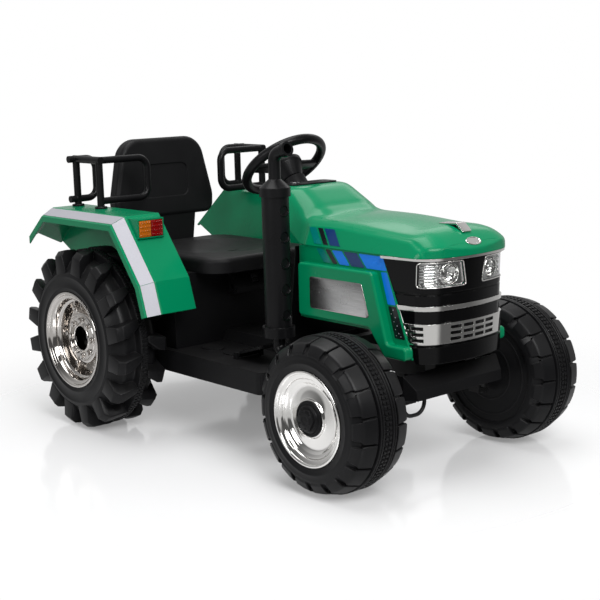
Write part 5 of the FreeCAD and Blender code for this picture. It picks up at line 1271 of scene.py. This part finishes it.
    def skin(self) -> Soup:
        """Bonnet and cowl as one smooth shell with a rear wall round the column.

        Returns:
            The shell.
        """
        shares = [1 - (1 - n / self.stations) ** self.station_power for n in range(self.stations + 1)]
        places = [self.rear_x + (self.front_x - self.rear_x) * share for share in shares]
        angles = [math.pi * n / self.arcs for n in range(self.arcs + 1)]
        net = self.radii(places, angles)

        def ring(x: float, radii: Sequence[float]) -> list[Triple]:
            """Points of one section, from the left edge over the top to the right edge."""
            return [(x, r * math.cos(a), self.low(x) + r * math.sin(a)) for a, r in zip(angles, radii)]

        loops = []
        for x, row in zip(places, net):
            row[:] = [r + self.emboss(x, self.low(x) + r * math.sin(a)) for a, r in zip(angles, row)]
            inner = ring(x, [max(r - self.skin_wall, 0) for r in row])
            loops.append(ring(x, row) + inner[::-1])
        probe = Probe.of("hood")
        for share in self.front_shares:
            front = [probe.front(y, z) or Vector((x, y, z))
                     for x, y, z in ring(self.front_x, [share * r for r in net[-1]])]
            loops.append([tuple(p) for p in front] + [(p.x - self.skin_wall, p.y, p.z) for p in front[::-1]])
        shell = Soup().grid(loops, wrap_columns=True)
        hole = [(self.column_hole[0] * math.cos(a), self.low(self.rear_x) + self.column_hole[1] * math.sin(a))
                for a in angles]
        x0, x1 = self.rear_x - self.rear_gap, self.rear_x + self.skin_wall
        outer = [(y, z) for _, y, z in ring(self.rear_x, net[0])]
        lines = ((x0, outer), (x0, hole), (x1, hole), (x1, outer))
        wall = [[(x, y, z) for y, z in line] for x, line in lines]
        base = len(shell.verts)
        shell.grid(wall, wrap_rows=True)
        for edge in (0, self.arcs):
            shell.faces.append(tuple(base + edge + n * len(angles) for n in range(len(wall))))
        return shell

    def oval(self, probe: Probe) -> Soup:
        """Bare oval blank on the bonnet front.

        Args:
            probe: probe of the bonnet's skin.

        Returns:
            The blank with its raised rim.
        """
        middle_y, middle_z, half = self.badge
        rises = (-self.badge_span, 0, self.badge_span)
        low, middle, high = (probe.front(middle_y, middle_z + rise) for rise in rises)
        across, up = Vector((0, 1, 0)), (high - low).normalized()
        out = across.cross(up)
        rows = [[middle + across * (share * half * math.cos(turn)) + out * lift
                 + up * (self.badge_ratio * share * half * math.sin(turn))
                 for turn in turns(self.badge_steps)] for share, lift in self.badge_profile]
        return Soup().grid(rows, wrap_columns=True)

    def scoop(self) -> None:
        """Make the scoop wedge, its gloss black a painted shade for the scoop's shaded green side, and its
        bright bent tip.
        """
        # gloss black here is painted shade: the scoop is green and its side lies in shadow
        shade_wedge = sheet(self.shade_wedge, -self.shade_wedge_half, 2 * self.shade_wedge_half).bevelled(self.shade_wedge_rounding)
        shade_wedge.piece("scoop_wedge", GLOSS_BLACK, "gloss_black", ["hood_scoop"])
        tip = sheet(rounded(self.tip, self.tip_corner), -self.tip_half, 2 * self.tip_half)
        tip.bevelled(self.tip_rounding).piece("scoop_tip", CHROME, "chrome")

    def graphics(self, probe: Probe) -> None:
        """Make the film with its specks and the bare plates.

        Args:
            probe: probe of the bonnet's skin.
        """
        for name, finish, outline in self.films:
            film = sheet(rounded(outline, self.film_corner), -self.wall_y, -self.film_thickness)
            film.pair("film_" + name, finish, "green")
        wide, tall = self.shard_net
        for name, finish, corners in self.shards:
            one, two, three, four = (Vector((x, self.shard_start, z)) for x, z in corners)
            spots = [[one.lerp(two, n / wide).lerp(four.lerp(three, n / wide), m / tall)
                      for n in range(wide + 1)] for m in range(tall + 1)]
            nets = [[[probe.lifted(spot, (0, 1, 0), lift) for spot in row] for row in spots]
                    for lift in self.shard_lifts]
            Soup().slab(*nets).pair("shard_" + name, finish, "green")
        dots = Soup()
        for x, z, radius in self.specks:
            ring = [(x + radius * math.cos(turn), z + radius * math.sin(turn))
                    for turn in turns(self.speck_steps)]
            dots.merge(sheet(ring, -self.wall_y - self.speck_lift, -self.speck_thickness))
        dots.pair("film_specks", STRIPE, "green")
        plate = sheet(rounded(self.plate, self.plate_corner), -self.panel_y, -self.plate_thickness)
        plate.bevelled(self.plate_rounding).pair("plate", PLATE, "chrome")

    def build(self) -> None:
        """Make the bonnet's skin, and the plates and film on both sides."""
        skin = self.skin()
        skin.piece("bonnet_skin", GREEN, "green", ["hood"])
        probe = skin.probe()
        self.oval(probe).piece("bonnet_blank", CHROME, "chrome")
        self.scoop()
        self.graphics(probe)


@dataclass
class Nose(SubAssembly):
    """Fascia with its bright trims and lamps."""

    lamp: tuple[Pair, ...] = ((34.0, 445.0), (24.0, 398.0), (119.0, 398.0), (119.0, 445.0))
    # y and z of the middle, and radius
    dish: Triple = (60.0, 421.5, 19.5)
    # depth at the edge, and what the middle adds
    dish_depth: Pair = (3.0, 14.0)
    # height, waves per radian and how soon they are full
    flutes: Triple = (1.1, 4.5, 1.6)
    rib_y: float = 90.0
    # depth, height and pitch
    ribs: Triple = (3.4, 2.2, 5.8)
    # outer edge as a share of the dish, and depth
    collar: Pair = (1.12, 0.6)
    plain_depth: float = 2.0
    # rows and columns of the reflector's net
    cells: tuple[int, int] = (52, 96)
    # lowest place and height
    insert_z: Pair = (398.6, 45.8)
    edge_gap: float = 0.7
    sure_y: float = 70.0
    lens_gap: float = 2.8
    back_depth: float = 29.0
    bulb: tuple[Pair, ...] = ((0, 0), (5, 0), (5, -7), (4.2, -10), (2.4, -12), (0, -12.6))
    bulb_depth: float = 20.0
    small_ring: tuple[Pair, ...] = ((1.6, 0), (4.4, 0), (4.4, -1.8), (3.8, -2.6), (2.8, -2.4), (2.0, -0.8))
    small_depth: float = 6.0
    small_lamps: tuple[Pair, ...] = ((85.5, 437.5), (84.2, 427.0), (85.0, 416.5), (87.0, 406.0))
    round_steps: int = 24
    lamp_middle: Pair = (100.0, 420.0)
    bezel_gap: float = 1.2
    bezel_corner: float = 6.0
    bezel_step: float = 5.0
    bezel_lift: float = 0.2
    bezel_radius: float = 1.2
    bezel_sides: int = 10
    nodes = (("front_fascia", GLOSS_BLACK), ("hood_edge_trim", CHROME), ("fascia_strip", CHROME),
             ("lower_grille", CHROME), ("headlamp_lens_right", CLEAR), ("headlamp_lens_left", CLEAR),
             ("front_bumper", BLACK), ("front_lead", RUBBER))

    def relief(self, y: float, z: float) -> float:
        """Depth of the reflector's face behind the lens.

        Args:
            y: distance from the middle plane.
            z: height.

        Returns:
            Depth in millimetres.
        """
        middle_y, middle_z, radius = self.dish
        out = math.hypot(y - middle_y, z - middle_z) / radius
        if out < 1:
            rim, bowl = self.dish_depth
            height, pace, rise = self.flutes
            wave = abs(math.sin(pace * math.atan2(z - middle_z, y - middle_y)))
            return rim + bowl * math.sqrt(1 - out * out) + height * wave * min(1, rise * out)
        if y > self.rib_y:
            base, height, pace = self.ribs
            return base + height * abs(math.sin(math.pi * (z - self.lamp[1][1]) / pace))
        return self.plain_depth if out > self.collar[0] else self.collar[1]

    def insert(self) -> None:
        """Make the reflectors with dish, ribs, small lamps and bulb."""
        probe = Probe.of("headlamp_lens_right")
        (high_y, high_z), (low_y, low_z), (outer_y, _), _ = self.lamp
        rows, columns = self.cells
        fronts, backs = [], []
        for row in range(rows + 1):
            z = self.insert_z[0] + self.insert_z[1] * row / rows
            first = low_y + self.edge_gap + (z - low_z) * (high_y - low_y) / (high_z - low_z)
            front, back = [], []
            x = probe.front(-self.sure_y, z).x
            for column in range(columns + 1):
                y = first + (outer_y - self.edge_gap - first) * column / columns
                edge = row in (0, rows) or column in (0, columns)
                place = probe.front(-y, z)
                x = place.x if place is not None else x
                front.append((x - self.lens_gap - (0 if edge else self.relief(y, z)), -y, z))
                back.append((x - self.back_depth, -y, z))
            fronts.append(front)
            backs.append(back)
        soup = Soup().slab(fronts, backs)
        bulb = Soup().lathe(self.bulb, self.round_steps, closed=False)
        ring = Soup().lathe(self.small_ring, self.round_steps)
        parts = [(ring, spot, self.small_depth) for spot in self.small_lamps]
        parts.insert(0, (bulb, self.dish[:2], self.bulb_depth))
        for part, (y, z), deep in parts:
            soup.merge(part, Matrix.Translation((probe.front(-y, z).x - deep, -y, z)) @ spun(90, "Z"))
        soup.pair("lamp_insert", REFLECTOR, "reflector", "headlamp_bowl")

    def bezel(self) -> None:
        """Make the thin bright edges round the lamps."""
        probe = Probe.of("front_fascia")
        middle_y, middle_z = self.lamp_middle
        wider = [(y + math.copysign(self.bezel_gap, y - middle_y),
                  z + math.copysign(self.bezel_gap, z - middle_z)) for y, z in self.lamp]
        corners = rounded(wider, self.bezel_corner)
        path = []
        for one, two in zip(corners, corners[1:] + corners[:1]):
            steps = max(1, round(math.dist(one, two) / self.bezel_step))
            for step in range(steps):
                y, z = Vector(one).lerp(Vector(two), step / steps)
                path.append(probe.lifted((FRONT_X, -y, z), BACKWARD, self.bezel_lift))
        Soup().tube(path + path[:2], self.bezel_radius, self.bezel_sides).pair("lamp_edge", CHROME, "chrome")

    def build(self) -> None:
        """Make the reflectors and edges of both lamps."""
        self.insert()
        self.bezel()


@dataclass
class Fenders(SubAssembly):
    """Fenders with reflective stripes, marker lamps and hand rails."""

    nodes = (("fender_right", GREEN), ("fender_left", GREEN))
    path: tuple[Pair, ...] = ((-298, 400), (-172, 503), (142, 503), (250, 366), (272, 296))
    tail: tuple[Pair, Pair] = ((-298, 217), (-232, 345))
    tail_gap: float = 7.0
    # inner and outer y, low and high z
    marker: tuple[Pair, Pair] = ((238.6, 301.4), (457.6, 494.4))
    marker_x: Pair = (182.3, 187.2)
    bevel_y: Pair = (308.0, 345.0)
    drop: float = 18.0
    side_share: float = 0.5
    # share across the bevel, and lift
    stripe: tuple[Pair, ...] = ((0.1, 0.1), (0.1, 0.6), (0.86, 0.6), (0.86, 0.1))
    stripe_gap: float = 0.004
    bead: tuple[Pair, ...] = ((0, 0), (2.3, 0), (2.1, -0.9), (1.3, -1.6), (0, -1.9))
    bead_steps: int = 14
    bead_sink: float = 0.1
    beads: tuple[int, int] = (4, 5)
    marker_gap: float = 0.3
    marker_corner: float = 2.0
    marker_rounding: float = 0.8
    rail_bend: float = 26.0
    rail_x: Pair = (-48.0, -150.0)
    rail_y: float = -250.0
    # feet, lower bend and top
    rail_z: Triple = (503.0, 520.5, 617.0)
    # bar, posts and loops
    rail_radii: Triple = (9.0, 8.8, 8.4)
    rail_foot: tuple[Pair, ...] = ((0, 0), (15, 0), (15, 3.6), (13.6, 5), (0, 5))
    foot_steps: int = 32
    rail_loops: tuple[Pair, Pair] = ((-250.0, -113.0), (-272.0, -196.0))

    def across(self, share: float, lift: float) -> list[Vector]:
        """Line along the bevelled edge of the right fender.

        Args:
            share: 0 at the top edge of the bevel, 1 at its outer edge.
            lift: height over the surface.

        Returns:
            Points of the line, from the rear tip to the foot.
        """
        line, ways = [], []
        for (x0, z0), (x1, z1) in zip(self.path, self.path[1:]):
            length = math.hypot(x1 - x0, z1 - z0)
            ways.append(((z1 - z0) / length, (x0 - x1) / length))
        for place, (x, z) in enumerate(self.path):
            one, two = ways[max(place - 1, 0)], ways[min(place, len(ways) - 1)]
            stretch = 1 + one[0] * two[0] + one[1] * two[1]
            down = self.drop * share - lift
            out = self.bevel_y[0] + share * (self.bevel_y[1] - self.bevel_y[0]) + self.side_share * lift
            line.append(Vector((x + down * (one[0] + two[0]) / stretch, -out,
                                z + down * (one[1] + two[1]) / stretch)))
        (x0, y0), (x1, y1) = self.tail
        end = x0 + (-line[0].y - y0) * (x1 - x0) / (y1 - y0) + self.tail_gap
        line[0] = line[0].lerp(line[1], (end - line[0].x) / (line[1].x - line[0].x))
        return line

    def lamp(self) -> None:
        """Make the two halves of the marker lamps with their beads."""
        (inner, outer), (low, high) = self.marker
        middle = (inner + outer) / 2
        back, face = self.marker_x
        bead = Soup().lathe(self.bead, self.bead_steps, closed=False)
        rows, columns = self.beads
        halves = (("amber", AMBER, middle + self.marker_gap, outer, ["marker_lamp"]),
                  ("red", RED_LENS, inner, middle - self.marker_gap, []))
        for name, finish, start, end, nodes in halves:
            corners = rounded(((-start, low), (-end, low), (-end, high), (-start, high)), self.marker_corner)
            half = Soup().prism([(back, y, z) for y, z in corners], (face - back, 0, 0))
            half = half.bevelled(self.marker_rounding)
            for row in range(rows):
                for column in range(columns):
                    y = start + (column + 0.5) * (end - start) / columns
                    z = low + (row + 0.5) * (high - low) / rows
                    half.merge(bead, Matrix.Translation((face - self.bead_sink, -y, z)) @ spun(90, "Z"))
            half.pair("marker_" + name, finish, "marker", *nodes)

    def build(self) -> None:
        """Make the stripes, lamp cells and rails on both sides."""
        lines = [self.across(share, lift) for share, lift in self.stripe]
        stripe = Soup()
        for number in range(len(self.path) - 1):
            runs = [(line[number], line[number + 1]) for line in lines]
            stripe.loft([one.lerp(two, self.stripe_gap) for one, two in runs],
                        [two.lerp(one, self.stripe_gap) for one, two in runs])
        stripe.pair("stripe", STRIPE, "reflector")
        self.lamp()
        self.rail()

    def rail(self) -> None:
        """Make the hand rails of bent tube."""
        (front, rear), y, (foot_z, low, top) = self.rail_x, self.rail_y, self.rail_z
        bar, post, hoop = self.rail_radii
        rail = Soup().tube([Vector((rear - bar, y, top)), Vector((front + bar, y, top))], bar)
        foot = Soup().lathe(self.rail_foot, self.foot_steps, closed=False)
        for x in self.rail_x:
            rail.tube([Vector((x, y, foot_z)), Vector((x, y, top))], post)
            rail.merge(foot, Matrix.Translation((x, y, foot_z)) @ spun(90, "X"))
        for x, (start, end) in zip(self.rail_x, self.rail_loops):
            route = [(x, start, top), (x, end, top), (x, end, low), (x, start, low)]
            rail.tube(bent(route, self.rail_bend), hoop)
        rail.pair("rail", TUBE_BLACK, "black", "handrail")


@dataclass
class Cabin(SubAssembly):
    """Seat, seat box, floor and controls."""

    nodes = (("seat_pan", SEAT_BLACK), ("seat_back", SEAT_BLACK), ("seat_box", BLACK),
             ("switch_console", BLACK), ("chassis_tub", BLACK), ("toe_board", BLACK),
             ("accelerator_pedal", BLACK), ("direction_rocker", SWITCH), ("gear_motor_right", DRIVE),
             ("gear_motor_left", DRIVE), ("battery", DRIVE), ("rear_axle", STEEL), ("axle_nuts", STEEL))
    screws: tuple[Pair, ...] = ((-190.0, 225.0), (190.0, 225.0), (-190.0, 345.0), (190.0, 345.0))
    tub_corners: tuple[tuple[float, int], ...] = ((498.0, 1), (-163.0, -1))
    corner_y: float = 213.0
    corner_radii: Pair = (17.5, 21.93)
    corner_heights: Pair = (140.3, 186.4)
    # first and last degree, and step
    corner_arc: tuple[int, int, int] = (33, 58, 3)
    # radius and height
    screw: Pair = (6.0, 3.0)
    screw_start: float = -400.0
    screw_sink: float = -0.3

    def corner(self, x: float, way: int, side: Side) -> Soup:
        """Curved strip that closes one rounded corner of the tub.

        Args:
            x: place of the corner's centre along the tub.
            way: 1 at the front, -1 at the rear.
            side: side of the tub.

        Returns:
            The strip.
        """
        low, high = self.corner_heights
        arc = [math.radians(angle) for angle in range(*self.corner_arc)]
        inner, outer = ([(x + way * r * math.cos(a), side.value * (self.corner_y + r * math.sin(a)), low)
                         for a in arc] for r in self.corner_radii)
        return Soup().prism(outer + inner[::-1], (0, 0, high - low))

    def build(self) -> None:
        """Make the screws of the seat box's rear face and the strips in the tub's corners."""
        strips = Soup()
        for side in Side:
            for x, way in self.tub_corners:
                strips.merge(self.corner(x, way, side))
        strips.piece("tub_corner_strips", BLACK, "black")
        probe = Probe.of("seat_box")
        heads = Soup()
        for y, z in self.screws:
            place = probe.lifted((self.screw_start, y, z), (1, 0, 0), self.screw_sink)
            heads.merge(screw_head(*self.screw), Matrix.Translation(place) @ spun(-90, "Z"))
        heads.piece("seat_box_screws", FRAME_PAINT, "steel")


@dataclass
class Exhaust(SubAssembly):
    """Upright exhaust on the right side."""

    centre: Pair = (515.0, -180.0)
    radius: float = 29.0
    louvre_z: tuple[float, ...] = (311.6, 366.8, 422.0, 477.2, 532.4)
    louvre_radius: float = 12.2
    # first degree, sweep and steps
    louvre_arc: tuple[int, int, int] = (185, 170, 18)
    louvre_bar: float = 2.0
    bar_sides: int = 10
    nodes = (("exhaust_stack", TUBE_BLACK), ("exhaust_outlet", TUBE_BLACK), ("exhaust_elbow", TUBE_BLACK))

    def build(self) -> None:
        """Make the raised rims under the louvres of the stack."""
        rims = Soup()
        middle_x, middle_y = self.centre
        start, sweep, steps = self.louvre_arc
        for z in self.louvre_z:
            path = []
            for turn in (math.radians(start + sweep * n / steps) for n in range(steps + 1)):
                across = self.louvre_radius * math.cos(turn)
                out = math.sqrt(self.radius ** 2 - across ** 2)
                rise = self.louvre_radius * math.sin(turn)
                path.append(Vector((middle_x + out, middle_y + across, z + rise)))
            rims.tube(path, self.louvre_bar, self.bar_sides)
        rims.piece("stack_louvre_rims", GLOSS_BLACK, "black")


@dataclass
class Studio:
    """Floor, lights and camera."""

    floor_radius: float = 3.2
    floor_steps: int = 64
    floor_colour: Colour = (0.9, 0.9, 0.91)
    floor_roughness: float = 0.1
    floor_metallic: float = 0.15
    fade: dict[str, float] = field(default_factory=lambda: ends(0.4, 1.25, 0.8, 0.0))
    eye: Triple = (2.23158, -1.88587, 0.82591)
    right: Triple = (0.65958, 0.75123, -0.02454)
    up: Triple = (-0.12770, 0.14417, 0.98128)
    lens: float = 76.33
    sensor: float = 36.0
    shift_y: float = 0.0223
    wall: Triple = (-0.72, 0.61, 0.33)
    room: dict[str, float] = field(default_factory=lambda: ends(-0.35, 0.75, 0.09, 0.55))
    ground: dict[str, float] = field(default_factory=lambda: ends(-0.1, 0.0, 0.6, 0.0))
    near_side: dict[str, float] = field(default_factory=lambda: ends(-0.1, 0.35, 1.0, 0.2))
    aim: Triple = (0.0, 0.0, 0.3)
    # name, place, size and power
    boxes: tuple[tuple[str, Triple, Pair, float], ...] = (
        ("key", (2.7, -0.9, 2.4), (1.8, 1.4), 95.0), ("top", (-0.1, -0.2, 3.0), (2.4, 1.8), 60.0),
        ("fill", (0.4, -3.2, 1.5), (1.6, 1.2), 34.0), ("back", (-1.4, 2.6, 2.6), (2.2, 1.2), 12.0),
        ("card", (2.8, 1.0, 1.5), (0.2, 1.2), 4.0))

    def floor(self) -> None:
        """Make the pale floor that fades into the backdrop."""
        mesh = bpy.data.meshes.new("floor")
        mesh.from_pydata([(self.floor_radius * math.cos(turn), self.floor_radius * math.sin(turn), 0.0)
                          for turn in turns(self.floor_steps)], [], [tuple(range(self.floor_steps))])
        paint = bpy.data.materials.new("floor_paint")
        paint.use_nodes = True
        graph = Graph(paint.node_tree)
        far = graph.add("VectorMath", {0: graph.add("TexCoord").outputs["Object"]}, operation="LENGTH")
        alpha = graph.span(far.outputs["Value"], self.fade, "SMOOTHSTEP")
        graph.fill(paint.node_tree.nodes["Principled BSDF"], {
            "Base Color": self.floor_colour, "Roughness": self.floor_roughness,
            "Metallic": self.floor_metallic, "Alpha": alpha})
        mesh.materials.append(paint)
        floor = bpy.data.objects.new("floor", mesh)
        bpy.context.scene.collection.objects.link(floor)

    def backdrop(self) -> None:
        """White for the camera; for the rest a white wall behind the toy and a dim room before it."""
        world = bpy.data.worlds.new("studio")
        world.use_nodes = True
        world.node_tree.nodes.clear()
        graph = Graph(world.node_tree)
        way = graph.add("TexCoord").outputs["Generated"]
        axes = graph.add("SeparateXYZ", {0: way}).outputs
        wall = graph.add("VectorMath", {0: way, 1: self.wall}, operation="DOT_PRODUCT").outputs["Value"]
        near = graph.span(wall, self.room, "SMOOTHSTEP")
        side = graph.span(axes["Y"], self.near_side, "SMOOTHSTEP")
        lit = graph.math("MULTIPLY", side, graph.span(axes["Z"], self.ground))
        room = graph.add("Background", {"Color": WHITE, "Strength": graph.math("MAXIMUM", near, lit)})
        shown = graph.add("Background", {"Color": WHITE})
        seen = graph.add("LightPath").outputs["Is Camera Ray"]
        mix = graph.add("MixShader", {"Fac": seen, 1: room.outputs[0], 2: shown.outputs[0]})
        graph.add("OutputWorld", {"Surface": mix.outputs[0]})
        bpy.context.scene.world = world

    def lights(self) -> None:
        """Hang the soft boxes."""
        for name, place, size, power in self.boxes:
            lamp = bpy.data.lights.new(name, "AREA")
            lamp.shape = "RECTANGLE"
            lamp.size, lamp.size_y = size
            lamp.energy = power
            made = bpy.data.objects.new(name, lamp)
            made.location = place
            made.rotation_euler = (Vector(self.aim) - Vector(place)).to_track_quat("-Z", "Y").to_euler()
            bpy.context.scene.collection.objects.link(made)

    def camera(self) -> None:
        """Put the camera where the photograph was taken from."""
        lens = bpy.data.cameras.new("camera")
        lens.lens = self.lens
        lens.sensor_width = self.sensor
        lens.shift_y = self.shift_y
        made = bpy.data.objects.new("camera", lens)
        right, up = Vector(self.right).normalized(), Vector(self.up).normalized()
        back = right.cross(up)
        turn = Matrix((right, up, back)).transposed().to_4x4()
        made.matrix_world = Matrix.Translation(self.eye) @ turn
        bpy.context.scene.collection.objects.link(made)
        bpy.context.scene.camera = made

    def build(self) -> None:
        """Set up the whole studio."""
        bpy.context.scene.view_settings.view_transform = "Standard"
        self.floor()
        self.backdrop()
        self.lights()
        self.camera()


def assemblies() -> list[SubAssembly]:
    """List the groups in building order.

    Returns:
        The groups of the tractor.
    """
    groups: list[SubAssembly] = []
    for side in Side:
        groups.append(RearWheel(side, x=0.0, radius=210.0, width=131.0, inner_y=250.0,
                                body="rear_wheel_" + side.word))
        groups.append(FrontWheel(side, x=770.0, radius=158.0, width=136.0, inner_y=196.0,
                                 body="front_wheel_" + side.word))
    return groups + [Steering(), Bodywork(), Nose(), Fenders(), Cabin(), Exhaust()]


def main() -> None:
    """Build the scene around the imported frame."""
    logging.basicConfig(level=logging.INFO, format="%(message)s")
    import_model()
    for group in assemblies():
        group.build()
        group.dress()
    Studio().build()


if __name__ == "__main__":
    main()
